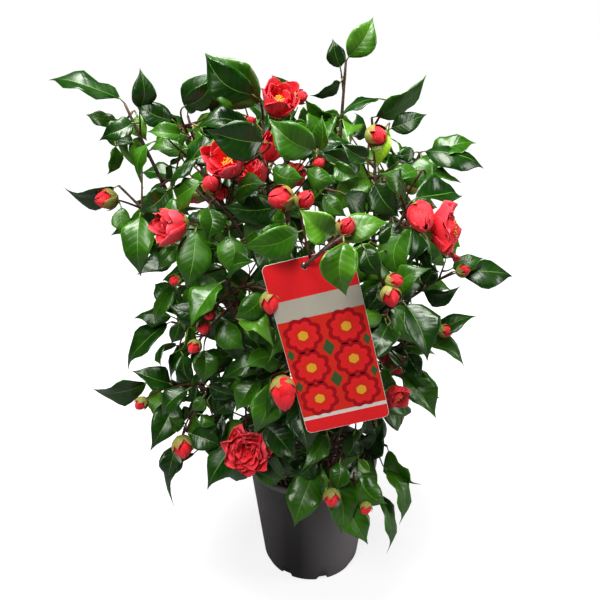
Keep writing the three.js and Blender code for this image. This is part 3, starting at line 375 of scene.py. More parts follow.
# Leaves that stand out to the viewer: foot, tip, how broad they look as a share of the length, and tone.
FRONT_LEAVES = [
    ((-155, -60, 638), (-199, -70, 663), 0.5, 0), ((-202, -50, 650), (-189, -60, 619), 0.6, 2),
    ((-192, -80, 640), (-232, -95, 623), 0.45, 0), ((-217, -60, 640), (-253, -66, 648), 0.45, 1),
    ((-220, -80, 621), (-231, -84, 585), 0.4, 1), ((-198, -50, 627), (-210, -60, 595), 0.55, 2),
    ((-155, -110, 576), (-190, -120, 551), 0.62, 0), ((-139, -90, 626), (-180, -96, 632), 0.42, 1),
    ((-153, -50, 630), (-181, -60, 653), 0.6, 0), ((-142, -90, 656), (-106, -96, 687), 0.52, 0),
    ((-116, -80, 648), (-96, -84, 675), 0.6, 0), ((-60, -110, 666), (-112, -110, 709), 0.55, 0),
    ((-48, -164, 627), (-106, -182, 641), 0.6, 0), ((-77, -60, 653), (-85, -60, 676), 0.6, 0),
    ((32, -20, 686), (-6, -30, 667), 0.35, 0), ((25, -30, 643), (-12, -40, 665), 0.38, 1),
    ((1, -150, 615), (-48, -150, 649), 0.6, 1), ((5, -130, 612), (5, -136, 651), 0.38, 1),
    ((-48, -160, 603), (-13, -172, 595), 0.7, 1), ((-14, -150, 601), (20, -164, 589), 0.55, 1),
    ((78, -40, 663), (29, -40, 643), 0.22, 0), ((74, -100, 636), (65, -112, 596), 0.45, 3),
    ((79, -90, 640), (86, -100, 608), 0.42, 2), ((57, -120, 605), (25, -124, 623), 0.55, 0),
    ((14, -130, 604), (45, -140, 592), 0.55, 1), ((115, -90, 590), (73, -104, 575), 0.45, 1),
    ((62, -90, 580), (93, -100, 541), 0.7, 0), ((3, -140, 575), (31, -150, 552), 0.5, 1),
    ((120, -60, 605), (125, -80, 563), 0.75, 1), ((116, -60, 607), (87, -70, 603), 0.55, 0),
    ((104, -90, 555), (137, -90, 549), 0.45, 0), ((85, -100, 541), (95, -110, 499), 0.66, 0),
    ((106, -110, 538), (101, -130, 470), 0.5, 1), ((133, -60, 505), (151, -70, 467), 0.3, 0),
    ((173, -20, 455), (214, -26, 473), 0.5, 1), ((133, -40, 435), (183, -44, 442), 0.45, 0),
    ((134, -60, 444), (146, -62, 477), 0.6, 0), ((47, -160, 525), (67, -170, 494), 0.65, 0),
    ((69, -150, 480), (52, -160, 452), 0.7, 0), ((82, -120, 450), (115, -136, 402), 0.5, 1),
    ((151, -60, 389), (112, -66, 411), 0.5, 1), ((110, -90, 375), (130, -104, 346), 0.7, 0),
    ((109, -70, 341), (160, -80, 304), 0.42, 1), ((77, -130, 377), (100, -140, 346), 0.5, 1),
    ((77, -140, 436), (75, -150, 401), 0.5, 1), ((18, -205, 543), (-18, -205, 571), 0.66, 2),
    ((-28, -170, 550), (-20, -180, 515), 0.42, 1), ((-89, -160, 539), (-89, -176, 495), 0.74, 1),
    ((-124, -150, 541), (-134, -170, 479), 0.55, 1), ((-34, -150, 563), (-96, -160, 565), 0.5, 0),
    ((-51, -170, 478), (-85, -184, 453), 0.58, 1), ((-109, -160, 442), (-75, -174, 413), 0.6, 1),
    ((-111, -140, 563), (-113, -156, 527), 0.72, 1), ((-34, -170, 546), (-60, -176, 533), 0.4, 1),
    ((-112, -120, 437), (-165, -124, 446), 0.55, 0), ((-166, -60, 450), (-195, -70, 400), 0.32, 1),
    ((-193, -100, 547), (-194, -120, 478), 0.46, 1), ((-221, -80, 552), (-209, -92, 517), 0.55, 1),
    ((-152, -100, 511), (-177, -110, 484), 0.55, 1), ((-176, -80, 321), (-223, -90, 347), 0.5, 0),
    ((-143, -120, 424), (-161, -130, 390), 0.36, 2), ((-157, -100, 420), (-169, -106, 391), 0.6, 0),
    ((-123, -150, 408), (-124, -166, 369), 0.68, 1), ((-154, -130, 393), (-142, -140, 354), 0.5, 0),
    ((-147, -110, 335), (-183, -120, 300), 0.5, 0), ((-158, -110, 279), (-177, -116, 299), 0.62, 1),
    ((-173, -90, 249), (-188, -100, 197), 0.55, 0), ((-152, -130, 285), (-109, -140, 272), 0.66, 0),
    ((-49, -175, 380), (-67, -195, 323), 0.5, 1), ((-60, -160, 318), (-22, -180, 280), 0.58, 0),
    ((-55, -165, 400), (-100, -174, 379), 0.45, 0), ((-59, -160, 380), (-88, -176, 339), 0.5, 1),
    ((-126, -140, 355), (-87, -146, 343), 0.5, 0), ((-90, -120, 331), (-119, -130, 311), 0.6, 0),
    ((-127, -130, 338), (-144, -136, 318), 0.66, 1), ((-139, -130, 311), (-116, -140, 301), 0.5, 1),
    ((32, -140, 256), (23, -156, 219), 0.6, 1), ((49, -150, 242), (87, -164, 208), 0.6, 1),
    ((67, -60, 210), (93, -70, 265), 0.6, 0), ((50, -120, 282), (36, -134, 250), 0.7, 0),
    ((7, -120, 242), (-24, -134, 219), 0.62, 0), ((-60, -130, 262), (-16, -136, 233), 0.42, 0),
    ((51, -120, 245), (71, -126, 226), 0.5, 2), ((8, -120, 268), (-19, -126, 256), 0.6, 2),
]


# Growth
def numbers_from(seed):
    """Random numbers between two limits, the same row of them for the same seed"""
    state = seed

    def number(low, high):
        nonlocal state
        state = (state * 1664525 + 1013904223) % 2 ** 32
        return low + (high - low) * state / 2 ** 32

    return number


def mixed(low, high, share):
    return low + (high - low) * share


def turned_about(direction, axis, angle):
    return Matrix.Rotation(angle, 3, axis) @ direction


class Curve:
    """A bend from start to end, drawn towards its middle point."""

    def __init__(self, start, middle, end):
        self.start = start.copy()
        self.middle = middle.copy()
        self.end = end.copy()

    def at(self, share):
        first = self.start.lerp(self.middle, share)
        return first.lerp(self.middle.lerp(self.end, share), share)

    def heading(self, share):
        first = (self.middle - self.start) * (1 - share)
        return ((self.end - self.middle) * share + first).normalized()

    def part(self, low, high):
        start = self.at(low)
        early = (self.middle - self.start).length * (1 - low)
        late = (self.end - self.middle).length * low
        return Curve(start, start + self.heading(low) * (high - low) * (early + late), self.at(high))

    def aside(self):
        """A direction square to the whole bend, or to the line where it hardly bends"""
        first = (self.middle - self.start).normalized()
        across = first.cross((self.end - self.middle).normalized())
        if across.length < 0.02:
            across = first.cross(Vector((1, 0, 0)) if abs(first.z) > 0.9 else UP)
        return across.normalized()

    def length(self):
        points = [self.at(i / 20) for i in range(21)]
        return sum((b - a).length for a, b in zip(points, points[1:]))

    def nearest_share(self, place):
        return min((i / 20 for i in range(21)), key=lambda share: (self.at(share) - place).length)


LEAF_FACES = [(0, 3, 4), (3, 1, 4), (1, 2, 4), (2, 0, 4), (0, 2, 3), (1, 3, 2)]
BOX_FACES = [(0, 1, 5, 4), (1, 2, 6, 5), (2, 3, 7, 6), (3, 0, 4, 7), (3, 2, 1, 0), (4, 5, 6, 7)]


class Patch:
    """A few faces that stand for a piece when crossings are looked for."""

    def __init__(self, corners, faces, owner):
        self.centre = sum(corners, Vector()) / len(corners)
        self.radius = max((corner - self.centre).length for corner in corners)
        self.tree = BVHTree.FromPolygons(corners, faces)
        self.owner = owner


def bar_patch(start, end, start_radius, end_radius, owner):
    """A square bar that holds a round one"""
    heading = (end - start).normalized()
    aside = Curve(start, start.lerp(end, 0.5), end).aside()
    across = aside.cross(heading)
    corners = []
    for middle, radius in ((start, start_radius), (end, end_radius)):
        for x, y in ((1, 0), (0, 1), (-1, 0), (0, -1)):
            corners.append(middle + (aside * x + across * y) * radius * math.sqrt(2))
    return Patch(corners, BOX_FACES, owner)


class Room:
    """Everything that has been set out so far."""

    def __init__(self):
        self.patches = []
        self.centres = np.zeros((MOST_PATCHES, 3))
        self.radii = np.zeros(MOST_PATCHES)

    def take(self, patch):
        self.centres[len(self.patches)] = patch.centre
        self.radii[len(self.patches)] = patch.radius
        self.patches.append(patch)

    def take_bar(self, curve, radius_at, steps, owner):
        for i in range(steps):
            low, high = i / steps, (i + 1) / steps
            self.take(bar_patch(curve.at(low), curve.at(high), radius_at(low) + WOOD_CLEARANCE,
                                radius_at(high) + WOOD_CLEARANCE, owner))

    def is_free(self, patch, own):
        count = len(self.patches)
        away = np.linalg.norm(self.centres[:count] - np.array(patch.centre), axis=1)
        for i in np.flatnonzero(away < self.radii[:count] + patch.radius):
            other = self.patches[i]
            if other.owner not in own and patch.tree.overlap(other.tree):
                return False
        return True


room = Room()


class Limb:
    """The trunk or a bough, with the stem, twigs, leaves and blossom of its mass. bare is the share of it
    that lies below the mass."""

    def __init__(self, name, bare, curve, radius_at):
        self.name = name
        self.bare = bare
        self.curve = curve
        self.radius_at = radius_at
        self.twigs = []
        self.leaves = []
        self.blooms = []
        self.buds = []


def trunk_radius(share):
    height = share * (TRUNK_FORK_HEIGHT - SOIL_TOP)
    flare = max(0, 1 - height / TRUNK_FLARE_HEIGHT) ** 2
    return mixed(TRUNK_RADIUS, TRUNK_TIP_RADIUS, share) + flare * (TRUNK_FOOT_RADIUS - TRUNK_RADIUS)


trunk_curve = Curve(Vector((0, 0, SOIL_TOP + SEAT_GAP)), Vector((0, 0, (SOIL_TOP + TRUNK_FORK_HEIGHT) / 2)),
                    Vector((*TRUNK_LEAN, TRUNK_FORK_HEIGHT)))
trunk = Limb("trunk", 1, trunk_curve, trunk_radius)
carriers = {"trunk": trunk}


def make_limb(order, name, on, at, bare, lift, swing, radius, free, tip, leaf, shoots):
    carrier = carriers[on]
    start = carrier.curve.at(at * carrier.bare)
    heading = carrier.curve.heading(1)
    if at == 1:
        start = start + heading * SEAT_GAP
    end = Vector(tip)
    if at != 1:
        heading = ((end - start).normalized() + Vector((swing, 0, lift))).normalized()
    curve = Curve(start, start + heading * (end - start).length / 2, end)
    limb = Limb(name, bare, curve, lambda share: mixed(radius, STEM_TIP_RADIUS, share))
    limb.stem = curve.part(bare + SEAT_GAP / curve.length(), 1)
    limb.free = free
    limb.leaf = Vector(leaf)
    limb.shoots = [Vector(shoot) for shoot in shoots]
    limb.turn = order * LIMB_TURN
    limb.number = numbers_from(LIMB_SEED + order * LIMB_SEED_STEP)
    carriers[name] = limb
    room.take_bar(curve.part(0, bare), lambda share: limb.radius_at(share * bare), 5, name + " bough")
    room.take_bar(limb.stem, lambda share: limb.radius_at(bare + share * (1 - bare)), 4, name)
    return limb


class Leaf:
    """A leaf from its seat on the twig: its heading, the way its upper face looks and its length. A leaf
    that is given no tone, breadth, hook or bow of its own draws them later."""

    def __init__(self, place, heading, roll, length):
        self.root = place - heading * LEAF_ROOT
        self.heading = heading
        self.face = leaf_face(place, heading, roll)
        self.length = length + LEAF_ROOT
        self.tone = None
        self.breadth = None
        self.hook = None
        self.bow = None

    def corners(self, extra):
        """Its root, its tip, both sides of its broadest place and the crest between them"""
        aside = self.face.cross(self.heading).normalized()
        half = self.length * (self.breadth or LEAF_WIDTH_SHARE) / 2 + extra
        sunk = extra / self.length

        def at(forward, side, rise):
            return self.root + (self.heading * forward + self.face * rise) * self.length + aside * side

        return [at(0, 0, -sunk), at(LEAF_FORWARD + sunk, 0, -LEAF_FALL - sunk),
                at(LEAF_MIDDLE, half, LEAF_CREST - sunk), at(LEAF_MIDDLE, -half, LEAF_CREST - sunk),
                at(LEAF_MIDDLE, 0, LEAF_CREST + LEAF_RIDGE + sunk)]


def leaf_face(root, heading, roll):
    """The upper side of a leaf turns to the light."""
    outward = Vector((root.x * LIGHT_FROM_SIDES, root.y - LIGHT_BEHIND, 0)).normalized()
    light = UP * LIGHT_FROM_ABOVE + outward * LIGHT_FROM_OUTSIDE
    face = (light - heading * light.dot(heading)).normalized()
    return turned_about(face, heading, roll)


def leaf_to(place, reach, seen_breadth, number, lifted=None):
    """A leaf whose tip gets to a given place and that shows the viewer its upper side, turned about its own
    line as far as it looks narrow. lifted says whether its side that looks up is the far one."""
    way = reach - place
    heading = way.normalized()
    hook = number(*OUTER_HOOK)
    fall = LEAF_FALL + hook * HOOK_FALL
    leaf = Leaf(place, heading, 0, way.length / math.hypot(LEAF_FORWARD, fall))
    leaf.hook = hook
    leaf.breadth = max(seen_breadth, LEAF_WIDTH_SHARE * number(*OUTER_BREADTH))
    sight = (VIEWER - leaf.root).normalized()
    face = (sight - heading * sight.dot(heading)).normalized()
    roll = math.acos(seen_breadth / leaf.breadth) + number(*OUTER_ROLL)
    if lifted is None:
        lifted = number(0, 1) < OUTER_LIFTED_SHARE
    side = face.cross(heading)
    face = turned_about(face, heading, roll if lifted == (side.z < 0) else -roll)
    tilt = math.atan2(fall, LEAF_FORWARD)
    leaf.heading = heading * math.cos(tilt) + face * math.sin(tilt)
    leaf.face = face * math.cos(tilt) - heading * math.sin(tilt)
    leaf.bow = OUTER_BOW if leaf.face.cross(leaf.heading).z > 0 else -OUTER_BOW
    return leaf


def near_pot(place, clearance):
    beside = math.hypot(place.x, place.y) < RIM_RADIUS + clearance
    return beside and place.z < POT_HEIGHT + clearance


def meets_pot(corners):
    lines = [(low, high) for low in corners for high in corners]
    return any(near_pot(low.lerp(high, i / 5), LEAF_TO_POT) for low, high in lines for i in range(5))


def seen_on_middle(place):
    """Where the line from the viewer through a place meets the crown's middle plane, and how much it grows"""
    scale = (CROWN_MIDDLE.y - VIEWER.y) / (place.y - VIEWER.y)
    spot = VIEWER + (place - VIEWER) * scale
    return Vector((spot.x, spot.z)), scale


def opens_sky(spots):
    """Whether any of the places that the viewer sees lies in a gap or outside the close foliage"""
    heights, lefts, rights = zip(*reversed(CLOSE_FOLIAGE))
    for spot in spots:
        left = np.interp(spot.y, heights, lefts)
        right = np.interp(spot.y, heights, rights)
        if spot.y > heights[-1] or not left < spot.x < right:
            return True
        if any((spot - Vector(middle)).length < radius for middle, radius in GAPS):
            return True
    return False


kept_views = []


def keep_view(place, radius):
    """Free leaves in front of this place aren't to hide it."""
    spot, scale = seen_on_middle(place)
    kept_views.append((spot, radius * scale, place.y))


def hides(spots, nearest):
    for spot, radius, depth in kept_views:
        if nearest < depth + VIEW_DEPTH and any((spot - other).length < radius for other in spots):
            return True
    return False


def inside_crown(limb, place):
    """Whether a place is in the reach of the limb's mass and inside the crown's barrel"""
    if min((limb.stem.at(i / 8) - place).length for i in range(9)) >= MASS_REACH:
        return False
    away = place - CROWN_MIDDLE
    return (math.hypot(away.x, away.y) / CROWN_RADIUS) ** 2 + (away.z / CROWN_HALF_HEIGHT) ** 4 < 1


def leaf_fits(limb, leaf, own):
    corners = leaf.corners(LEAF_CLEARANCE)
    root, tip, left, right = corners[:4]
    if not inside_crown(limb, tip) or meets_pot(corners):
        return False
    sampled = corners + [side.lerp(end, 0.5) for end in (tip, root) for side in (left, right)]
    spots = [seen_on_middle(corner)[0] for corner in sampled]
    if opens_sky(spots) or hides(spots, min(corner.y for corner in corners)):
        return False
    return room.is_free(Patch(corners, LEAF_FACES, limb.name), own)


def place_leaf(limb, leaf):
    limb.leaves.append(leaf)
    room.take(Patch(leaf.corners(0), LEAF_FACES, "leaf"))


class Twig:
    """A twig of one mass. It is kept if it carries anything. reach is the place that its last leaf has to get
    to, if it has one, and a tipped twig has its last leaf."""

    def __init__(self, limb, curve, radius, carries=False, reach=None, tipped=False):
        self.curve = curve
        self.radius = radius
        self.owner = f"{limb.name} twig {len(limb.twigs)}"
        self.carries = carries
        self.reach = reach
        self.tipped = tipped
        limb.twigs.append(self)
        room.take_bar(curve, self.radius_at, 2, self.owner)

    def radius_at(self, share):
        return mixed(self.radius, TWIG_TIP_RADIUS, share)


def twig_fits(limb, curve, own):
    if near_pot(curve.end, TWIG_TO_POT):
        return False
    wide, middle, narrow = TWIG_ROOM
    near = bar_patch(curve.at(0.12), curve.at(0.5), wide, middle, limb.name)
    far = bar_patch(curve.at(0.5), curve.at(1), middle, narrow, limb.name)
    return room.is_free(near, own) and room.is_free(far, own)


def set_blossom(mass, at, face, size, view, foot, mouth):
    """A twig to a bloom or a bud, and room for it"""
    limb = carriers[mass]
    place = Vector(at)
    face = Vector(face).normalized()
    keep_view(place, size * view)
    depth = size * foot
    nearest = limb.stem.nearest_share(place - face * depth)
    start = limb.stem.at(max(BLOSSOM_LOWEST, nearest - BLOSSOM_BELOW))
    end = place - face * depth * 0.5
    back = end - face * (end - start).length * BLOSSOM_BEND
    Twig(limb, Curve(start, back, end), TWIG_RADIUS, carries=True)
    room.take(bar_patch(place - face * size * foot, place + face * size * BLOSSOM_FRONT, size * BLOSSOM_FOOT,
                        size * mouth, "blossom"))
    return limb, place, face


def grow_blossom():
    for mass, at, face, width, openness in BLOOMS:
        limb, place, face = set_blossom(mass, at, face, width, BLOOM_VIEW, BLOOM_DEPTH, BLOOM_MOUTH)
        limb.blooms.append((place, face, width, openness))
    for mass, at, face, length in BUDS:
        limb, place, face = set_blossom(mass, at, face, length, BUD_VIEW, BUD_DEPTH, BUD_MOUTH)
        limb.buds.append((place, face, length))


def nearest_wood(place):
    """The limb whose stem or twig passes nearest to a place, and that point of it. Wood in front of the place
    counts as further off, and wood that all but touches it is passed over."""
    best = None
    for limb in limbs:
        for curve in [limb.stem] + [twig.curve for twig in limb.twigs]:
            for i in range(2, 10):
                point = curve.at(i / 10)
                away = (point - place).length + max(0, place.y - point.y) * IN_FRONT_COUNTS
                if away > LEAST_TWIG and (best is None or away < best[0]):
                    best = (away, limb, point)
    return best[1], best[2]


def grow_front_leaves():
    number = numbers_from(FRONT_SEED)
    for foot, tip, breadth, tone in FRONT_LEAVES:
        root = Vector(foot)
        leaf = leaf_to(root, Vector(tip), breadth, number)
        leaf.tone = tone
        limb, start = nearest_wood(root)
        bend = root - leaf.heading * (root - start).length * FRONT_BEND
        radius = TWIG_RADIUS if tone < BRIGHT else SPRIG_RADIUS
        Twig(limb, Curve(start, bend, root), radius, carries=True, tipped=True)
        place_leaf(limb, leaf)
        for share in FRONT_VIEW_SHARES:
            keep_view(root.lerp(Vector(tip), share), leaf.length * breadth * FRONT_VIEW)


def shoot_curve(limb, reach, share):
    start = limb.stem.at(share)
    way = reach - start
    length = min(SHOOT_LEAF, way.length * SHOOT_LEAF_SHARE)
    end = start + way * (1 - length / way.length) + UP * SHOOT_RISE
    return Curve(start, start.lerp(end, 0.5), end)


def grow_shoots(limb):
    """Twigs to the outer leaves, each from the place on the stem that lets it pass the rest"""
    for reach in limb.shoots:
        first, last = SHOOT_SPAN
        wanted = max(first, min(last, limb.stem.nearest_share(reach) - SHOOT_BELOW))
        lowest, highest = SHOOT_LIMITS
        shares = [wanted + shift for shift in SHOOT_SHIFTS if lowest <= wanted + shift <= highest]
        curves = [shoot_curve(limb, reach, share) for share in shares]
        fitting = [curve for curve in curves if twig_fits(limb, curve, [limb.name])]
        Twig(limb, (fitting or curves)[0], TWIG_RADIUS, reach=reach)


def spiral_heading(curve, share, turn, lean):
    """A way off a stem or twig, turned round it and leant from it, both in degrees"""
    along = curve.heading(share)
    aside = turned_about(curve.aside(), along, math.radians(turn))
    angle = math.radians(lean)
    return along * math.cos(angle) + aside * math.sin(angle)


def grow_twigs(limb, carrier, own, count, lengths, radius):
    """Free twigs along a stem, or sprigs along a twig"""
    number = limb.number
    for i in range(count):
        for _ in range(LEAF_TRIES):
            share = TWIG_FIRST + TWIG_SPREAD * (i + number(*TWIG_STRAY)) / count
            turn = GOLDEN_ANGLE * (i + 1) + limb.turn + number(*TWIG_TURN)
            heading = spiral_heading(carrier, share, turn, TWIG_ANGLE + number(*TWIG_LEAN))
            length = number(*lengths)
            start = carrier.at(share)
            bend = start + heading * length / 2
            end = bend + heading * length / 2 + UP * length * TWIG_LIFT
            curve = Curve(start, bend, end)
            clear = inside_crown(limb, end) and not opens_sky([seen_on_middle(end)[0]])
            if clear and twig_fits(limb, curve, own):
                Twig(limb, curve, radius)
                break


def grow_outer_leaf(limb, curve, reach, order):
    """The leaf at the end of a limb or of a shoot, whose tip is where the mass ends"""
    number = limb.number
    breadths = SEEN_BREADTHS.get(limb.name, ())
    breadth = breadths[order] if order < len(breadths) else NARROW
    last = leaf_to(curve.at(1), reach, abs(breadth), number, breadth > 0)
    last.tone = DARK if number(0, 1) < OUTER_DARK_SHARE else MID
    if order < BRIGHT_TIPS.get(limb.name, 0):
        last.tone = FRESH
    keep_view(last.root.lerp(reach, 0.5), OUTER_VIEW)
    place_leaf(limb, last)


def grow_tip_leaf(limb, curve, own):
    number = limb.number
    heading = (curve.heading(1) + UP * number(*TIP_SINK)).normalized()
    roll = math.radians(number(*TIP_ROLL))
    last = Leaf(curve.at(1), heading, roll, LEAF_LENGTH * number(*TIP_LENGTH_SHARE))
    fits = leaf_fits(limb, last, own)
    if fits:
        place_leaf(limb, last)
    return fits


def grow_leaves(limb, curve, owner, first):
    """Leaves along one twig or stem, set round it by the leaf spiral, and the share where the last one is"""
    number = limb.number
    furthest = 0
    count = int(curve.length() * (1 - first) / LEAF_SPACING)
    for i in range(count):
        share = first + (1 - first) * (i + LEAF_IN_STEP) / count
        for attempt in range(LEAF_TRIES):
            turn = GOLDEN_ANGLE * i + limb.turn + number(*LEAF_TURN) * (1 + attempt)
            heading = spiral_heading(curve, share, turn, LEAF_ANGLE + number(*LEAF_LEAN))
            heading = (heading + UP * number(*LEAF_SINK)).normalized()
            roll = math.radians(number(*LEAF_ROLL))
            leaf = Leaf(curve.at(share), heading, roll, LEAF_LENGTH * number(*LENGTH_SHARE))
            if leaf_fits(limb, leaf, [owner, limb.name]):
                place_leaf(limb, leaf)
                furthest = share
                break
    return furthest


def on_card(x, y, depth):
    """A place on the card, from its middle, in its own directions. depth is towards the viewer."""
    turn = Matrix.Rotation(math.radians(CARD_TURN), 3, "Y")
    return turn @ Vector((x, -depth, y)) + CARD_MIDDLE


def take_card_box(low, high):
    sides = (low, high)
    corners = [on_card(sides[x][0], sides[y][1], sides[level][2])
               for level in (0, 1) for x, y in ((0, 0), (1, 0), (1, 1), (0, 1))]
    room.take(Patch(corners, BOX_FACES, "card"))


def take_card():
    """Room for the card, and thin boxes in front of it that keep leaves off it below its top"""
    x = CARD_WIDTH / 2 + CARD_MARGIN
    y = CARD_HEIGHT / 2 + CARD_MARGIN
    take_card_box((-x, -y, -CARD_MARGIN), (x, y, CARD_THICKNESS + CARD_MARGIN))
    for across in CARD_VIEW_ACROSS:
        keep_view(on_card(CARD_WIDTH * across, CARD_HEIGHT * CARD_VIEW_UP, CARD_THICKNESS), CARD_VIEW)
    for depth in range(CARD_NEAREST_BOX, CARD_VIEW_DEPTH + 1, CARD_BOX_STEP):
        take_card_box((-x, -y, depth - 1), (x, y - CARD_COVERED_TOP, depth + 1))


room.take_bar(trunk.curve, trunk.radius_at, 3, "trunk")
limbs = [make_limb(order, *row) for order, row in enumerate(LIMBS)]
take_card()
grow_blossom()
for limb in limbs:
    grow_shoots(limb)
grow_front_leaves()
for limb in limbs:
    grow_outer_leaf(limb, limb.stem, limb.leaf, 0)
    shoots = [twig for twig in limb.twigs if twig.reach]
    for order, twig in enumerate(shoots):
        grow_outer_leaf(limb, twig.curve, twig.reach, order + 1)
        twig.carries = True
for limb in limbs:
    grow_twigs(limb, limb.stem, [limb.name], limb.free * 2, TWIG_LENGTH, TWIG_RADIUS)
for limb in limbs:
    for twig in list(limb.twigs):
        grow_twigs(limb, twig.curve, [limb.name, twig.owner], 1, SPRIG_LENGTH, SPRIG_RADIUS)
for limb in limbs:
    for twig in limb.twigs:
        if not twig.reach and not twig.tipped:
            twig.tipped = grow_tip_leaf(limb, twig.curve, [twig.owner, limb.name])
            twig.carries = twig.carries or twig.tipped
for limb in limbs:
    grow_leaves(limb, limb.stem, limb.name, STEM_LEAVES_FROM)
    for twig in limb.twigs:
        furthest = grow_leaves(limb, twig.curve, twig.owner, TWIG_LEAVES_FROM)
        if furthest and not twig.carries:
            twig.curve = twig.curve.part(0, min(1, furthest + PAST_LAST_LEAF))
            twig.carries = True


# Finishes
def shade(colour, factor):
    return [part * factor for part in colour]


class Nodes:
    """A node tree and short ways to add to it."""

    def __init__(self, tree):
        self.tree = tree

    def feed(self, socket, value):
        """Links a socket to another, or gives it a number, a colour or three numbers"""
        if isinstance(value, bpy.types.NodeSocket):
            self.tree.links.new(value, socket)
        elif socket.type == "RGBA":
            socket.default_value = (*value, 1)
        else:
            socket.default_value = value

    def add(self, kind, inputs=None, **settings):
        node = self.tree.nodes.new(kind)
        for key, value in settings.items():
            setattr(node, key, value)
        for socket, value in (inputs or {}).items():
            self.feed(node.inputs[socket], value)
        return node

    def maths(self, operation, *values):
        return self.add("ShaderNodeMath", dict(enumerate(values)), operation=operation).outputs[0]

    def coordinates(self, kind="Object"):
        return self.add("ShaderNodeTexCoord").outputs[kind]

    def split(self, kind="Object"):
        """Coordinates one by one"""
        return self.add("ShaderNodeSeparateXYZ", {0: self.coordinates(kind)}).outputs

    def mix(self, mask, low, high):
        """A colour between two, by a mask. Each is a colour or a socket."""
        return self.add("ShaderNodeMix", {0: mask, 6: low, 7: high}, data_type="RGBA").outputs[2]

    def ramp(self, value, low, high):
        """A value stretched so that low gives 0 and high gives 1"""
        return self.add("ShaderNodeMapRange", {0: value, 1: low, 2: high}).outputs[0]

    def between(self, mask, low, high):
        """A number between two, by a mask"""
        return self.add("ShaderNodeMapRange", {0: mask, 3: low, 4: high}).outputs[0]


class Finish(Nodes):
    """A material and its Principled shader."""

    def __init__(self, name, colour, roughness, **sockets):
        self.material = bpy.data.materials.new(name)
        self.material.use_nodes = True
        self.material.diffuse_color = (*colour, 1)
        super().__init__(self.material.node_tree)
        self.shader = self.tree.nodes["Principled BSDF"]
        self.set(Base_Color=colour, Roughness=roughness, **sockets)

    def set(self, **sockets):
        for socket, value in sockets.items():
            self.feed(self.shader.inputs[socket.replace("_", " ")], value)

    def group(self, tree, **values):
        return self.add("ShaderNodeGroup", values, node_tree=tree).outputs

    def bump(self, height, distance, strength=1):
        node = self.add("ShaderNodeBump", {"Height": height, "Distance": distance, "Strength": strength})
        self.set(Normal=node.outputs[0])


def new_group(name, inputs, outputs):
    """A node group of plain numbers, with the sockets that it is given and those that it fills"""
    tree = bpy.data.node_groups.new(name, "ShaderNodeTree")
    for socket, value in inputs.items():
        made = tree.interface.new_socket(name=socket, in_out="INPUT", socket_type="NodeSocketFloat")
        made.default_value = value
    for socket in outputs:
        tree.interface.new_socket(name=socket, in_out="OUTPUT", socket_type="NodeSocketFloat")
    group = Nodes(tree)
    return group, group.add("NodeGroupInput").outputs, group.add("NodeGroupOutput").inputs


def mottle_group():
    """Soft blotches: a mask from a noise"""
    group, given, filled = new_group("mottle", {"Scale": 60, "Contrast": 0.2}, ["Mask"])
    grain = group.add("ShaderNodeTexNoise", {"Vector": group.coordinates(), "Scale": given["Scale"],
                                             "Detail": 4})
    low = group.maths("SUBTRACT", 0.5, given["Contrast"])
    high = group.maths("ADD", 0.5, given["Contrast"])
    group.feed(filled["Mask"], group.ramp(grain.outputs[0], low, high))
    return group.tree


def vein_group():
    """Side veins of a leaf, slanting forward from the midrib, from the leaf's own UV map"""
    group, given, filled = new_group("leaf_veins", {"Pairs": 8}, ["Veins", "Margin"])
    across, along = group.split("UV")[:2]
    aside = group.maths("ABSOLUTE", group.maths("SUBTRACT", across, 0.5))
    slant = group.maths("SUBTRACT", along, group.maths("MULTIPLY", aside, 0.42))
    turn = group.maths("MULTIPLY", group.maths("MULTIPLY", slant, given["Pairs"]), math.tau)
    group.feed(filled["Veins"], group.maths("POWER", group.maths("ABSOLUTE", group.maths("SINE", turn)), 5))
    group.feed(filled["Margin"], group.maths("MULTIPLY", aside, 2))
    return group.tree


MOTTLE = mottle_group()
VEINS = vein_group()


def leaf_finish(name, deep, fresh, roughness):
    made = Finish(name, deep, roughness, Specular_IOR_Level=0.42, Specular_Tint=(0.95, 1, 0.86),
                  Coat_Weight=0.1, Coat_Roughness=0.2)
    mottle = made.group(MOTTLE, Scale=42, Contrast=0.16)[0]
    veins = made.group(VEINS, Pairs=4)
    blade = made.mix(mottle, deep, fresh)
    # Painted highlight: a thin pale line along the leaf's margin
    margin_highlit = made.mix(made.ramp(veins["Margin"], 0.9, 1.05), blade, shade(fresh, 2.2))
    veined = made.mix(made.between(veins["Veins"], 0, 0.14), margin_highlit, shade(fresh, 1.7))
    made.set(Base_Color=veined, Roughness=made.between(mottle, roughness - 0.06, roughness + 0.1))
    made.bump(veins["Veins"], 0.0003, 0.35)
    return made.material


def plain_finish(name, low, high, roughness, scale, relief=0, **sockets):
    made = Finish(name, low, roughness, **sockets)
    mottle = made.group(MOTTLE, Scale=scale, Contrast=0.18)[0]
    made.set(Base_Color=made.mix(mottle, low, high),
             Roughness=made.between(mottle, roughness - 0.05, roughness + 0.05))
    if relief:
        made.bump(mottle, relief)
    return made.material


def petal_finish(name, deep, pale):
    """Fine streaks along the petal, paler towards its tip"""
    made = Finish(name, deep, 0.5, Specular_IOR_Level=0.25, Sheen_Weight=0.12, Sheen_Roughness=0.4,
                  Sheen_Tint=(1, 0.55, 0.6))
    long_way = made.add("ShaderNodeMapping", {"Vector": made.coordinates("UV"), "Scale": (15, 1.6, 1)})
    streaks = made.add("ShaderNodeTexNoise", {"Vector": long_way.outputs[0]})
    streak = made.ramp(streaks.outputs[0], 0.36, 0.64)
    body = made.mix(streak, shade(deep, 0.82), shade(deep, 1.2))
    made.set(Base_Color=made.mix(made.ramp(made.split("UV")[1], 0.5, 1.1), body, pale))
    made.bump(streak, 0.0005, 0.5)
    return made.material


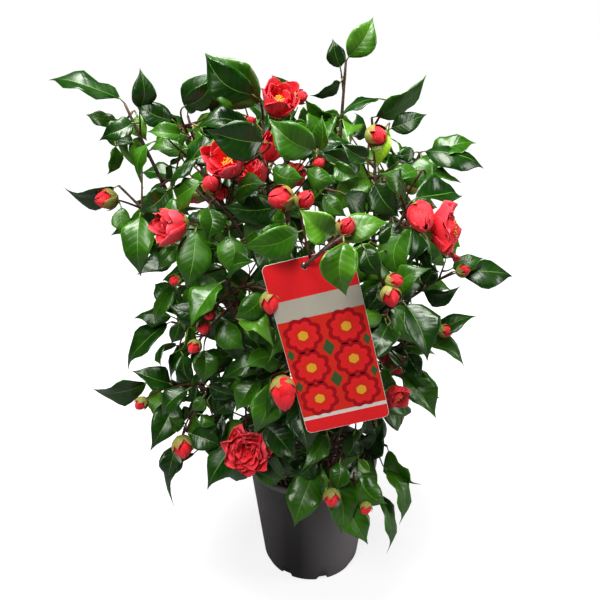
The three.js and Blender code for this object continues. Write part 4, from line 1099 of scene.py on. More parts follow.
def bud_finish():
    made = Finish("bud_scale", (0.25, 0.26, 0.06), 0.5, Specular_IOR_Level=0.25)
    mottle = made.group(MOTTLE, Scale=260, Contrast=0.2)[0]
    body = made.mix(mottle, (0.16, 0.21, 0.035), (0.3, 0.27, 0.065))
    made.set(Base_Color=made.mix(made.ramp(made.split("UV")[1], 0.5, 1), body, (0.34, 0.09, 0.035)))
    return made.material


def pot_finish():
    """Black plastic with painted reflections, paler on its right than on its left, and a painted highlight on
    the rim band
    """
    made = Finish("pot_plastic", (0.022, 0.021, 0.024), 0.4, Specular_IOR_Level=0.5)
    mottle = made.group(MOTTLE, Scale=14, Contrast=0.3)[0]
    speckle = made.group(MOTTLE, Scale=420, Contrast=0.12)[0]
    x, _, z = made.split()
    plastic = made.mix(mottle, (0.0072, 0.0053, 0.0051), (0.0125, 0.0095, 0.0096))
    # Painted reflections: the plastic turns paler towards its left edge, and paler still towards its right
    # edge
    left = made.mix(made.ramp(x, -0.035, -0.085), plastic, (0.098, 0.091, 0.089))
    sides = made.mix(made.ramp(x, -0.018, 0.06), left, (0.195, 0.176, 0.184))
    # Painted highlight: the rim band is paler than the wall below it
    band = POT_HEIGHT - RIM_BAND
    lip_highlight = made.between(made.ramp(z, band * MM, (band + 2) * MM), 0, 0.5)
    made.set(Base_Color=made.mix(lip_highlight, sides, (0.2, 0.185, 0.183)), Roughness=made.between(speckle, 0.36, 0.5))
    made.bump(speckle, 0.00012, 0.5)
    return made.material


def ink(name, colour):
    made = Finish(name, colour, 0.5, Specular_IOR_Level=0.12)
    speckle = made.group(MOTTLE, Scale=500, Contrast=0.25)[0]
    made.set(Base_Color=made.mix(speckle, colour, shade(colour, 1.08)))
    return made.material


LEAF_FINISHES = [
    leaf_finish("leaf_deep", (0.002, 0.02, 0.0006), (0.0075, 0.042, 0.0008), 0.3),
    leaf_finish("leaf_green", (0.012, 0.062, 0.001), (0.029, 0.112, 0.0026), 0.32),
    leaf_finish("leaf_bright", (0.044, 0.15, 0.005), (0.078, 0.215, 0.01), 0.36),
    leaf_finish("leaf_young", (0.13, 0.26, 0.007), (0.2, 0.35, 0.014), 0.36),
    leaf_finish("leaf_fresh", (0.025, 0.098, 0.002), (0.052, 0.155, 0.005), 0.33),
    plain_finish("leaf_rib", (0.07, 0.18, 0.014), (0.12, 0.25, 0.02), 0.45, 90),
    plain_finish("leaf_underside", (0.045, 0.12, 0.012), (0.07, 0.16, 0.018), 0.6, 70),
    plain_finish("leaf_underside_young", (0.16, 0.28, 0.02), (0.24, 0.36, 0.04), 0.58, 70),
]
STALK = plain_finish("leaf_stalk", (0.11, 0.17, 0.035), (0.17, 0.2, 0.05), 0.5, 150)
TWIG_BROWN = plain_finish("twig_bark", (0.03, 0.011, 0.007), (0.085, 0.032, 0.015), 0.7, 260, 0.0004,
                          Specular_IOR_Level=0.15)
TWIG_GREEN = plain_finish("twig_young", (0.17, 0.11, 0.035), (0.24, 0.15, 0.05), 0.55, 260, 0.0003)
BARK = plain_finish("bark", (0.035, 0.02, 0.014), (0.11, 0.068, 0.045), 0.85, 130, 0.0008)
PETAL_FINISHES = [
    petal_finish("petal_deep", (0.66, 0.004, 0.010), (0.77, 0.026, 0.04)),
    petal_finish("petal_rose", (0.84, 0.010, 0.019), (0.92, 0.046, 0.064)),
    petal_finish("petal_pink", (0.91, 0.022, 0.038), (0.97, 0.1, 0.132)),
    bud_finish(),
]
FILAMENT = plain_finish("filament", (0.72, 0.42, 0.07), (0.8, 0.5, 0.1), 0.6, 300)
ANTHER = plain_finish("anther", (0.78, 0.3, 0.015), (0.85, 0.42, 0.03), 0.7, 300)
SOIL_DARK = plain_finish("soil_dark", (0.012, 0.007, 0.004), (0.045, 0.027, 0.016), 0.95, 350, 0.002)
CRUMB_BROWN = plain_finish("crumb_brown", (0.05, 0.03, 0.018), (0.1, 0.06, 0.035), 0.95, 400, 0.001)
CRUMB_TAN = plain_finish("crumb_tan", (0.3, 0.18, 0.085), (0.42, 0.28, 0.15), 0.9, 400, 0.001)
RED, CREAM, SCARLET, CRIMSON, YELLOW, GREEN = range(1, 7)
INKS = [ink("card_white", (0.66, 0.65, 0.6)), ink("card_red", (0.76, 0.016, 0.02)),
        ink("card_cream", (0.44, 0.41, 0.33)), ink("card_scarlet", (0.66, 0.022, 0.012)),
        ink("card_crimson", (0.34, 0.005, 0.009)), ink("card_yellow", (0.72, 0.36, 0.03)),
        ink("card_green", (0.04, 0.09, 0.025))]


# Meshes and pieces
class Template:
    """A small mesh that is set out many times, kept as arrays. under and flat mark its faces that look down
    and those that aren't shaded smooth."""

    def __init__(self, shape):
        shape.verts.index_update()
        self.places = np.array([vert.co for vert in shape.verts])
        self.faces = [[vert.index for vert in face.verts] for face in shape.faces]
        self.centres = np.array([face.calc_center_median() for face in shape.faces])
        self.uv = self.places[:, :2] * 0.5 + 0.5
        self.flat = np.zeros(len(self.faces), bool)
        shape.free()


def thin_sheet(across, along):
    """A flat sheet with two sides and a rim: x is across, y along, and z is 0 above and -1 below."""
    shape = bmesh.new()
    bmesh.ops.create_grid(shape, x_segments=len(across) - 1, y_segments=len(along) - 1, size=0.5)
    for vert in shape.verts:
        column = round((vert.co.x + 0.5) * (len(across) - 1))
        row = round((vert.co.y + 0.5) * (len(along) - 1))
        vert.co = (across[column], along[row], 0)
    bmesh.ops.recalc_face_normals(shape, faces=shape.faces)
    if sum(face.normal.z for face in shape.faces) < 0:
        bmesh.ops.reverse_faces(shape, faces=shape.faces)
    bmesh.ops.solidify(shape, geom=shape.faces[:], thickness=1)
    for vert in shape.verts:
        vert.co.z = -1 if vert.co.z < -0.5 else 0
    bmesh.ops.recalc_face_normals(shape, faces=shape.faces)
    sheet = Template(shape)
    sheet.uv = np.stack([sheet.places[:, 0] / 2 + 0.5, sheet.places[:, 1]], axis=1)
    sheet.under = sheet.centres[:, 2] < -0.9
    sheet.flat = (sheet.centres[:, 2] <= -0.1) & ~sheet.under
    return sheet


def round_bar(sides, rings):
    """A closed bar of radius 1 along z from 0 to 1"""
    shape = bmesh.new()
    bmesh.ops.create_grid(shape, x_segments=sides, y_segments=rings, size=0.5)
    for vert in shape.verts:
        turn = (vert.co.x + 0.5) * math.tau
        vert.co = (math.cos(turn), math.sin(turn), vert.co.y + 0.5)
    bmesh.ops.remove_doubles(shape, verts=shape.verts, dist=1e-4)
    close_up(shape)
    return Template(shape)


def small_ball():
    shape = bmesh.new()
    bmesh.ops.create_cube(shape, size=1)
    bmesh.ops.subdivide_edges(shape, edges=shape.edges[:], cuts=1, use_grid_fill=True)
    for vert in shape.verts:
        vert.co.normalize()
    return Template(shape)


def close_up(shape):
    """Fills the open ends and turns every face outwards"""
    bmesh.ops.holes_fill(shape, edges=[edge for edge in shape.edges if edge.is_boundary], sides=0)
    bmesh.ops.recalc_face_normals(shape, faces=shape.faces)


def mesh_of(name, shape, finishes, scale=1, smooth=False):
    if scale != 1:
        bmesh.ops.scale(shape, vec=(scale, scale, scale), verts=shape.verts)
    for face in shape.faces:
        face.smooth = smooth
    mesh = bpy.data.meshes.new(name)
    shape.to_mesh(mesh)
    shape.free()
    for finish in finishes:
        mesh.materials.append(finish)
    return mesh


def new_object(name, data):
    made = bpy.data.objects.new(name, data)
    bpy.context.collection.objects.link(made)
    return made


def new_piece(name, mesh, nodes):
    piece = new_object(name, mesh)
    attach(piece, "root")
    if nodes:
        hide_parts(*nodes)


def set_out(name, template, copies, slots, finishes, nodes):
    """One piece from many copies of a template: the places of each copy's corners in millimetres, and the
    finish of each copy or of its faces"""
    count, corners, faces = len(copies), len(template.places), len(template.faces)
    mesh = bpy.data.meshes.new(name)
    copied = [[i * corners + corner for corner in face] for i in range(count) for face in template.faces]
    mesh.from_pydata((np.concatenate(copies) * MM).tolist(), [], copied)
    indices = np.concatenate([np.broadcast_to(own, faces) for own in slots])
    mesh.polygons.foreach_set("material_index", indices.astype(np.int32))
    mesh.polygons.foreach_set("use_smooth", ~np.tile(template.flat, count))
    layer = mesh.uv_layers.new(name="UVMap")
    corner_of = np.zeros(len(mesh.loops), np.int32)
    mesh.loops.foreach_get("vertex_index", corner_of)
    layer.data.foreach_set("uv", template.uv[corner_of % corners].ravel())
    for finish in finishes:
        mesh.materials.append(finish)
    mesh.update()
    new_piece(name, mesh, nodes)


def masses_of(limbs):
    return [f"foliage_{limb.name}" for limb in limbs]


def rows_of(vectors):
    return np.array([tuple(vector) for vector in vectors])[:, None, :]


def column_of(values):
    return np.array(list(values), float)[:, None]


# Leaves
LEAF_ACROSS = [-1, -0.78, -0.42, -0.022, 0.022, 0.42, 0.78, 1]
LEAF_ALONG = [0, 0.05, 0.13, 0.24, 0.36, 0.48, 0.6, 0.71, 0.81, 0.89, 0.95, 1]
LEAF_OUTLINE = [0.05, 0.3, 0.6, 0.86, 0.98, 1, 0.9, 0.69, 0.41, 0.18, 0.07, 0.01]
leaf_sheet = thin_sheet(LEAF_ACROSS, LEAF_ALONG)
leaf_is_rib = (np.abs(leaf_sheet.centres[:, 0]) < 0.02) & ~leaf_sheet.flat
RIB_SLOT = 5


def leaf_places(leaves, number):
    """The places of every corner of every leaf"""
    t, s, side = (leaf_sheet.places[None, :, i] for i in range(3))
    root = rows_of(leaf.root for leaf in leaves)
    heading = rows_of(leaf.heading for leaf in leaves)
    face = rows_of(leaf.face for leaf in leaves)
    aside = np.cross(face, heading)
    length = column_of(leaf.length for leaf in leaves)
    fold = column_of(number(*FOLD) for _ in leaves)
    curl = column_of(number(*CURL) for _ in leaves)
    twist = column_of(number(*TWIST) * (HOOKED_TWIST_SHARE if leaf.hook else 1) for leaf in leaves)
    bend = column_of(number(*BEND) + (leaf.bow or 0) for leaf in leaves)
    wave = column_of(number(*WAVE) for _ in leaves)
    phase = column_of(number(0, math.tau) for _ in leaves)
    hook = column_of(leaf.hook or number(*HOOK) for leaf in leaves)
    arch = column_of(number(*ARCH) - (HOOKED_ARCH_LESS if leaf.hook else 0) for leaf in leaves)
    breadth = column_of(leaf.breadth or LEAF_WIDTH_SHARE * number(*BREADTH) for leaf in leaves)
    stalk = LEAF_STALK / length
    along = stalk + (1 - stalk) * s
    half = np.interp(s, LEAF_ALONG, LEAF_OUTLINE) * breadth * length / 2
    turn = twist * (s - TWIST_START)
    hooked = hook * np.maximum(0, s - HOOK_START) ** HOOK_POWER
    rise = length * (LEAF_RISE * along - LEAF_DROOP * along ** 2 - hooked)
    rise = rise + length * arch * np.sin(s * math.pi)
    ripple = wave * np.sin(phase + s * WAVE_ALONG + t * 0.9) * t ** 2
    lift = half * (fold * np.abs(t) + curl * t ** 2 + ripple)
    sideways = half * t + length * bend * np.sin(s * math.pi)
    high = rise + lift * np.cos(turn) + half * t * np.sin(turn) + side * LEAF_THICKNESS
    wide = sideways * np.cos(turn) - lift * np.sin(turn)
    forward = length * along * LEAF_FORWARD
    return root + heading * forward[..., None] + aside * wide[..., None] + face * high[..., None]


def leaf_slots(leaf, number):
    """The finish of each face of a leaf: its tone above, its rib and its underside"""
    tone = leaf.tone
    if tone is None:
        draw = number(0, 1)
        tone = next(tone for limit, tone in TONE_SHARES if draw < limit)
    slots = np.full(len(leaf_sheet.faces), tone)
    slots[leaf_sheet.under] = RIB_SLOT + (2 if tone == YOUNG else 1)
    slots[leaf_is_rib] = RIB_SLOT
    return slots


def stalk_of(leaf):
    forward = LEAF_STALK + LEAF_STALK_SUNK
    tip = leaf.root + leaf.heading * forward
    tip = tip + leaf.face * LEAF_RISE * forward
    return Curve(leaf.root, leaf.root.lerp(tip, 0.5), tip)


def bars_of(curves, radii, bar):
    """Round bars along curves. radii gives the radius at both ends of each."""
    x, y, share = (bar.places[None, :, i, None] for i in range(3))
    start = rows_of(curve.start for curve in curves)
    middle = rows_of(curve.middle for curve in curves)
    end = rows_of(curve.end for curve in curves)
    aside = rows_of(curve.aside() for curve in curves)
    heading = (middle - start) * (1 - share) + (end - middle) * share
    heading = heading / np.linalg.norm(heading, axis=2, keepdims=True)
    across = np.cross(heading, aside)
    line = start * (1 - share) ** 2 + middle * 2 * share * (1 - share) + end * share ** 2
    radii = np.array(radii, float)[:, None]
    radius = radii[..., :1] + (radii[..., 1:] - radii[..., :1]) * share
    return line + (aside * x + across * y) * radius


twig_bar = round_bar(7, 6)
twig_turns = np.arctan2(twig_bar.places[:, 1], twig_bar.places[:, 0])
twig_bar.uv = np.stack([twig_turns / math.tau + 0.5, twig_bar.places[:, 2]], axis=1)
stalk_bar = round_bar(5, 2)
looks = numbers_from(LOOKS_SEED)
for index, group in enumerate([limbs[0:8], limbs[8:16], limbs[16:22], limbs[22:28]]):
    leaves = [leaf for limb in group for leaf in limb.leaves]
    slots = [leaf_slots(leaf, looks) for leaf in leaves]
    set_out(f"leaves_{index + 1}", leaf_sheet, leaf_places(leaves, looks), slots, LEAF_FINISHES,
            masses_of(group))
    stalks = bars_of([stalk_of(leaf) for leaf in leaves], [LEAF_STALK_RADII] * len(leaves), stalk_bar)
    set_out(f"leaf_stalks_{index + 1}", stalk_bar, stalks, [0] * len(stalks), [STALK],
            masses_of(group))

# Twigs of all masses
twigs = [twig for limb in limbs for twig in limb.twigs if twig.carries]
bars = bars_of([twig.curve for twig in twigs], [(twig.radius, TWIG_TIP_RADIUS) for twig in twigs], twig_bar)
set_out("twigs", twig_bar, bars, [1 if twig.radius < YOUNG_WOOD_RADIUS else 0 for twig in twigs],
        [TWIG_BROWN, TWIG_GREEN], masses_of(limbs))


# Trunk and boughs, with the bark's relief
def barked(shape, limb, sides, rings, relief):
    made = bmesh.ops.create_grid(shape, x_segments=sides, y_segments=rings, size=0.5)["verts"]
    aside = limb.curve.aside()
    for vert in made:
        share = vert.co.y + 0.5
        turn = (vert.co.x + 0.5) * math.tau
        heading = limb.curve.heading(share)
        out = aside * math.cos(turn) + heading.cross(aside) * math.sin(turn)
        place = limb.curve.at(share)
        radius = limb.radius_at(share)
        grain = noise.noise((place + out * 4) * 0.09) + 0.5 * noise.noise((place * 0.3 + out * 9) * 0.5)
        vert.co = place + out * radius * (1 + relief * grain)
    bmesh.ops.remove_doubles(shape, verts=made, dist=0.01)


wood = bmesh.new()
barked(wood, trunk, 28, 44, 0.16)
for limb in limbs:
    barked(wood, limb, 12, 30, 0.14)
close_up(wood)
new_piece("wood", mesh_of("wood", wood, [BARK], MM, smooth=True),
          ["trunk"] + [f"bough_{limb.name}" for limb in limbs])

# Petals, for the blooms and for the buds
PETAL_ACROSS = [-1, -0.66, -0.33, 0, 0.33, 0.66, 1]
PETAL_ALONG = [0, 0.14, 0.3, 0.46, 0.62, 0.76, 0.88, 0.96, 1]
PETAL_OUTLINE = [0.34, 0.56, 0.8, 0.95, 1, 0.99, 0.93, 0.81, 0.62]
SCALE_OUTLINE = [0.75, 0.95, 1, 0.98, 0.9, 0.76, 0.54, 0.32, 0.1]
PETAL_THICKNESS = 0.35
PETAL_STEPS = 40
PETAL_TIP_ROUNDING = 0.2
PETAL_LEAST_WRAP = 0.34
PETAL_MOST_WRAP = 1.5
FLARE_START = 0.7
FLARE_LENGTH = 0.3
DEEP, ROSE, PINK, SCALE = range(4)
STAMENS = 46
FILAMENT_RADII = (0.32, 0.3)
ANTHER_RADII = (0.85, 0.65)
ANTHER_LENGTH = 1.5
ANTHER_SUNK = 0.4
CALYX_SCALES = 5
CALYX_DEPTH = 0.35
BRUSH_DEPTH = 0.25
BUD_SCALES = 7
SCALE_SUNK = 0.5
USUAL_BUD = 26
LARGEST_BUD = 30
CUPPED_WHORLS = [(5, 1), (5, 0.88), (5, 0.72), (5, 0.54), (4, 0.36)]
BRUSHED_WHORLS = [(5, 1), (5, 0.9), (4, 0.76)]
FILLED_WHORLS = [(8, 1), (7, 0.9), (6, 0.76), (5, 0.6), (5, 0.44), (4, 0.3)]
petal_sheet = thin_sheet(PETAL_ACROSS, PETAL_ALONG)
petals, petal_slots, stamens = [], [], []


class Petal:
    """The bend of a petal, from its foot outwards. lean is its slant from the flower's axis at its foot, curl
    how much that grows up to its tip and flare how much it grows on the outer part."""

    def __init__(self, lean, curl, flare=0):
        self.line = np.linspace(0, 1, PETAL_STEPS + 1)
        self.slant = lean + curl * self.line + flare * np.maximum(0, self.line - FLARE_START) / FLARE_LENGTH
        self.out = np.concatenate([[0], np.cumsum(np.sin(self.slant[:-1]) / PETAL_STEPS)])
        self.up = np.concatenate([[0], np.cumsum(np.cos(self.slant[:-1]) / PETAL_STEPS)])


def add_petal(bend, slots, place, axis, spin, length, width, start, outline=SCALE_OUTLINE, ruffle=0, phase=0,
              loose=1):
    """One petal or scale round an axis. start is how far its foot is from the axis, and a loose one hugs the
    axis less."""
    t, s, side = (petal_sheet.places[:, i] for i in range(3))
    share = s * (1 - PETAL_TIP_ROUNDING * t ** 2 * s ** 2)
    slant = np.interp(share, bend.line, bend.slant)
    half = width / 2 * np.interp(s, PETAL_ALONG, outline)
    frill = ruffle * length * (np.sin(phase + t * 2.6) + 0.45 * np.sin(phase * 2 + t * 5.5)) * s ** 2
    lift = frill + side * PETAL_THICKNESS
    radius = start + np.interp(share, bend.line, bend.out) * length + lift * np.cos(slant)
    level = np.interp(share, bend.line, bend.up) * length - lift * np.sin(slant)
    wrap = np.maximum(radius, width * PETAL_LEAST_WRAP) * loose
    angle = np.clip(half * t / wrap, -PETAL_MOST_WRAP, PETAL_MOST_WRAP)
    forward = radius - wrap * (1 - np.cos(angle))
    sideways = wrap * np.sin(angle)
    first = turned_about(axis.orthogonal().normalized(), axis, spin)
    second = axis.cross(first)
    petals.append(np.array(place) + np.outer(forward, first) + np.outer(sideways, second)
                  + np.outer(level, axis))
    outside, inside = slots
    petal_slots.append(np.where(petal_sheet.under, inside, outside))


def add_stamen(start, end, face, bow):
    """A filament and the anther at its end"""
    knob = end + face * ANTHER_LENGTH
    stamens.append((Curve(start, start.lerp(end, 0.5) - bow, end), FILAMENT_RADII, 0))
    stamens.append((Curve(end - face * ANTHER_SUNK, end.lerp(knob, 0.5), knob), ANTHER_RADII, 1))


def open_bloom(place, face, width, openness, number):
    """Whorls of petals, from the outer ones inwards. A bloom that is half open has a brush of stamens in it,
    and one that is fully open is filled with ruffled petals."""
    brushed = 0.4 < openness < 0.9
    filled = openness > 0.9
    whorls = FILLED_WHORLS if filled else BRUSHED_WHORLS if brushed else CUPPED_WHORLS
    flared = 0.45 if filled else mixed(-0.25, 1.1, openness)
    breadth = 0.68 if filled else mixed(0.84, 0.74, openness)
    ruffle = 0.17 if filled else mixed(0, 0.13, openness)
    height = 0
    for ring, (count, size) in enumerate(whorls):
        for i in range(count):
            lean = mixed(1.05, 1.35, openness) - 0.15 * ring + number(-0.1, 0.1)
            curl = -lean * mixed(1.72, 0.4, openness) + number(-0.2, 0.15)
            plain = Petal(lean, curl)
            bend = Petal(lean, curl, number(0.1, 1) * flared)
            length = width / 2 * size / plain.out.max() * number(0.78, 1.06)
            if ring == 0:
                height = max(height, length * plain.up.max())
            else:
                length = min(length, height * (1.02 - 0.05 * ring) / plain.up.max() * number(0.88, 1))
            tone = number(0, 1)
            outside = PINK if tone < 0.4 else ROSE
            inside = DEEP if tone < 0.15 else ROSE if tone < 0.65 else PINK
            spin = math.tau * (i + number(-0.2, 0.2)) / count + ring * 0.6
            add_petal(bend, (outside, inside), place - face * width * BLOOM_DEPTH, face, spin, length,
                      width * breadth * size, width * 0.02, PETAL_OUTLINE, ruffle, number(0, 6.28),
                      1.5 if filled else 1)
    for i in range(CALYX_SCALES):
        add_petal(Petal(1.3, mixed(-1.5, -0.5, openness)), (SCALE, SCALE), place - face * width * CALYX_DEPTH,
                  face, math.tau * i / CALYX_SCALES, width * mixed(0.62, 0.2, openness),
                  width * mixed(0.46, 0.22, openness), width * mixed(0.06, 0.03, openness))
    foot = place - face * width * BRUSH_DEPTH
    for i in range(STAMENS if brushed else 0):
        ring = math.sqrt((i + 0.5) / STAMENS)
        side = turned_about(face.orthogonal().normalized(), face, GOLDEN_TURN * i)
        start = foot + side * ring * width * 0.05
        end = foot + face * width * number(0.32, 0.41) + side * ring * width * 0.15
        add_stamen(start, end, face, side * width * 0.01)


def closed_bud(place, face, length, number):
    """Overlapping scales round petals that are still furled. Past the largest bud it is a bloom that starts
    to open, whose petals have grown well out of their scales."""
    foot = place - face * length * 0.5
    large = length > LARGEST_BUD
    lean, curl = (1.1, -2.2) if large else (1.3, -2.62)
    bend = Petal(lean, curl)
    line = length / bend.up.max()
    width = line * bend.out.max() * 2
    furled = 13 if large else 8
    for i in range(furled):
        share = i / (furled - 1)
        grown = mixed(1.05, 0.72, share) if large else mixed(1.02, 0.8, share)
        add_petal(bend, (DEEP if i % 3 == 1 else ROSE, DEEP), foot, face, GOLDEN_TURN * i, line * grown,
                  width * mixed(0.9, 0.7, share), (0.34 if large else 0.3) * i * length / USUAL_BUD,
                  PETAL_OUTLINE, 0.008, i)
    for i in range(BUD_SCALES):
        extent = mixed(0.45, 0.76, i / (BUD_SCALES - 1)) * number(0.92, 1.08) * (0.6 if large else 1)
        add_petal(Petal(lean, curl * extent), (SCALE, SCALE), foot - face * SCALE_SUNK, face,
                  GOLDEN_TURN * i + 1, line * extent * 1.05, width * 0.74,
                  (2.3 + 0.08 * i) * length / USUAL_BUD)


shapes = numbers_from(PETAL_SEED)
for limb in limbs:
    for bloom in limb.blooms:
        open_bloom(*bloom, shapes)
    for bud in limb.buds:
        closed_bud(*bud, shapes)
flowering = masses_of([limb for limb in limbs if limb.blooms or limb.buds])
set_out("petals", petal_sheet, petals, petal_slots, PETAL_FINISHES, flowering)
curves, radii, slots = zip(*stamens)
set_out("stamens", stalk_bar, bars_of(curves, radii, stalk_bar), slots, [FILAMENT, ANTHER],
        flowering)


# The pot
def wall_outside(height):
    share = (height - CHAMFER_TOP) / (POT_HEIGHT - CHAMFER_TOP)
    return mixed(FOOT_RADIUS + FOOT_CHAMFER, RIM_RADIUS - RIM_OVERHANG, share)


def pot_profile():
    """From the middle of the underside up the outside, over the rim and down to the middle of the floor"""
    ring = POT_HEIGHT - STACKING_RING
    band = POT_HEIGHT - RIM_BAND
    foot = [(0, 0), (FOOT_RADIUS * 0.5, 0), (FOOT_RADIUS, 0)]
    outer = [(wall_outside(height), height) for height in np.linspace(CHAMFER_TOP, ring, 7)]
    step = [(wall_outside(ring) + 1.1, ring + 1.4), (wall_outside(band), band - 1)]
    rim = [(RIM_RADIUS - 0.9, band), (RIM_RADIUS, band + 1.8), (RIM_RADIUS, POT_HEIGHT - 2),
           (RIM_RADIUS - 1.6, POT_HEIGHT), (wall_outside(POT_HEIGHT) - 0.8, POT_HEIGHT)]
    inner = [(wall_outside(height) - POT_WALL, height) for height in (POT_HEIGHT - 3, CHAMFER_TOP)]
    floor = [(FOOT_RADIUS - POT_WALL, POT_WALL), (0, POT_WALL)]
    return foot + outer + step + rim + inner + floor


def notch_foot(vert):
    """The drain notches lift the foot's outer edge."""
    radius = math.hypot(vert.co.x, vert.co.y)
    if radius < FOOT_RADIUS * 0.97 * MM or vert.co.z > NOTCH_HEIGHT * MM or radius > RIM_RADIUS * 0.8 * MM:
        return
    turn = math.atan2(vert.co.y, vert.co.x) / math.tau * DRAIN_NOTCHES - NOTCH_TURN
    away = abs(turn - round(turn)) * math.tau / DRAIN_NOTCHES * FOOT_RADIUS
    if away < NOTCH_WIDTH / 2:
        vert.co.z = NOTCH_HEIGHT * MM


pot = bmesh.new()
verts = [pot.verts.new((radius * MM, 0, height * MM)) for radius, height in pot_profile()]
edges = [pot.edges.new(pair) for pair in zip(verts, verts[1:])]
bmesh.ops.spin(pot, geom=verts + edges, axis=(0, 0, 1), cent=(0, 0, 0), angle=math.tau, steps=POT_STEPS,
               use_merge=True)
bmesh.ops.remove_doubles(pot, verts=pot.verts, dist=1e-6)
bmesh.ops.recalc_face_normals(pot, faces=pot.faces)
for vert in pot.verts:
    notch_foot(vert)
corners = [edge for edge in pot.edges if edge.calc_face_angle(0) > 0.42]
bmesh.ops.bevel(pot, geom=corners, offset=POT_EDGE_ROUNDING * MM, affect="EDGES", segments=2, profile=0.5,
                material=-1)
new_piece("pot_shell", mesh_of("pot_shell", pot, [pot_finish()], smooth=True), ["pot"])


# The soil, with crumbs and chips on it
def soil_radius(height):
    return wall_outside(height) - POT_WALL - SEAT_GAP


def soil_level(x, y):
    share = min(1, math.hypot(x, y) / RIM_RADIUS)
    return SOIL_TOP - SOIL_DIP * share ** 2 + SOIL_SWELL * noise.noise(Vector((x, y, 3)) * 0.12)


def soil_bed():
    shape = bmesh.new()
    bmesh.ops.create_circle(shape, cap_ends=True, segments=SOIL_STEPS, radius=soil_radius(SOIL_TOP))
    for vert in shape.verts:
        grain = noise.noise(Vector((vert.co.x, vert.co.y, 0)) * 0.45)
        vert.co.z = soil_level(vert.co.x, vert.co.y) + SOIL_GRAIN * grain
    rim = [edge for edge in shape.edges if edge.is_boundary]
    skirt = bmesh.ops.extrude_edge_only(shape, edges=rim)["geom"]
    for vert in [item for item in skirt if isinstance(item, bmesh.types.BMVert)]:
        scale = soil_radius(SOIL_UNDERSIDE) / math.hypot(vert.co.x, vert.co.y)
        vert.co = (vert.co.x * scale, vert.co.y * scale, SOIL_UNDERSIDE)
    close_up(shape)
    return shape


new_piece("soil_bed", mesh_of("soil_bed", soil_bed(), [SOIL_DARK], MM), ["soil"])
crumb = small_ball()
scatter = np.random.default_rng(CRUMB_SEED)
crumbs, crumb_slots = [], []
for i in range(CRUMBS):
    radius = (wall_outside(SOIL_TOP) - POT_WALL - CRUMB_TO_WALL) * math.sqrt(scatter.random())
    turn = scatter.random() * math.tau
    if radius < TRUNK_FOOT_RADIUS + 1:
        continue
    x, y = radius * math.cos(turn), radius * math.sin(turn)
    size = scatter.uniform(*CRUMB_SIZES) ** CRUMB_SPREAD
    stretch = scatter.uniform(*CRUMB_SIZES, 3) * size
    angle = scatter.random() * math.tau
    tilt = np.array(Matrix.Rotation(angle, 3, Vector(scatter.normal(size=3)).normalized()))
    crumbs.append((crumb.places * stretch) @ tilt.T + (x, y, soil_level(x, y) + size * CRUMB_LIFT))
    draw = scatter.random()
    crumb_slots.append(0 if draw < DARK_CRUMBS else 1 if draw < BROWN_CRUMBS else 2)
set_out("soil_crumbs", crumb, crumbs, crumb_slots, [SOIL_DARK, CRUMB_BROWN, CRUMB_TAN], [])

# The hanging card. Its board is the first ink, and its drawings are flat, with z towards the viewer.
front_stem = carriers["front"].stem
hole_share = min((i / 200 for i in range(201)), key=lambda share: abs(front_stem.at(share).y - CARD_MIDDLE.y))
hole_place = Matrix.Rotation(math.radians(-CARD_TURN), 3, "Y") @ (front_stem.at(hole_share) - CARD_MIDDLE)


def rectangle(shape, x, y, width, height, corner=0, rows=(-1, 1)):
    """A rectangle whose lower corners (row -1) and upper corners (row 1) may be rounded"""
    made = bmesh.ops.create_grid(shape, x_segments=1, y_segments=1, size=0.5)["verts"]
    for vert in made:
        vert.co.x = x + vert.co.x * width
        vert.co.y = y + vert.co.y * height
    rounded = [vert for vert in made if (1 if vert.co.y > y else -1) in rows]
    if corner:
        bmesh.ops.bevel(shape, geom=rounded, offset=corner, affect="VERTICES", segments=5, profile=0.5,
                        material=-1)


def holed_sheet(shape, y, width, height, rows):
    """A sheet with the hole that the stem passes through"""
    edges = set(shape.edges)
    faces = set(shape.faces)
    rectangle(shape, 0, y, width, height, CARD_CORNER, rows)
    bmesh.ops.delete(shape, geom=[face for face in shape.faces if face not in faces], context="FACES_ONLY")
    bmesh.ops.create_circle(shape, cap_ends=False, segments=24, radius=HOLE_RADIUS,
                            matrix=Matrix.Translation((hole_place.x, hole_place.z, 0)))
    bmesh.ops.triangle_fill(shape, use_beauty=True, edges=[edge for edge in shape.edges if edge not in edges],
                            normal=(0, 0, 1))


def scalloped(shape, x, y, radius, lobes, depth):
    made = bmesh.ops.create_circle(shape, cap_ends=True, segments=lobes * 6, radius=radius,
                                   matrix=Matrix.Translation((x, y, 0)))["verts"]
    for vert in made:
        turn = math.atan2(vert.co.y - y, vert.co.x - x)
        scale = 1 - depth * (1 - abs(math.sin(turn * lobes / 2)))
        vert.co.x = x + (vert.co.x - x) * scale
        vert.co.y = y + (vert.co.y - y) * scale


def diamond(shape, x, y, width, height):
    made = bmesh.ops.create_circle(shape, cap_ends=True, segments=4, radius=1,
                                   matrix=Matrix.Translation((x, y, 0)))["verts"]
    for vert in made:
        vert.co.x = x + (vert.co.x - x) * width / 2
        vert.co.y = y + (vert.co.y - y) * height / 2


def to_card(name, shape, base, finishes):
    """The piece that a drawing makes, from its height on the card"""
    for vert in shape.verts:
        vert.co = on_card(vert.co.x, vert.co.y, vert.co.z + base) * MM
    bmesh.ops.recalc_face_normals(shape, faces=shape.faces)
    new_piece(name, mesh_of(name, shape, finishes), ["label"])


body = bmesh.new()
holed_sheet(body, 0, CARD_WIDTH, CARD_HEIGHT, (-1, 1))
bmesh.ops.recalc_face_normals(body, faces=body.faces)
bmesh.ops.solidify(body, geom=body.faces[:], thickness=CARD_THICKNESS)
to_card("card_body", body, -min(vert.co.z for vert in body.verts), INKS[:1])
printed = bmesh.new()


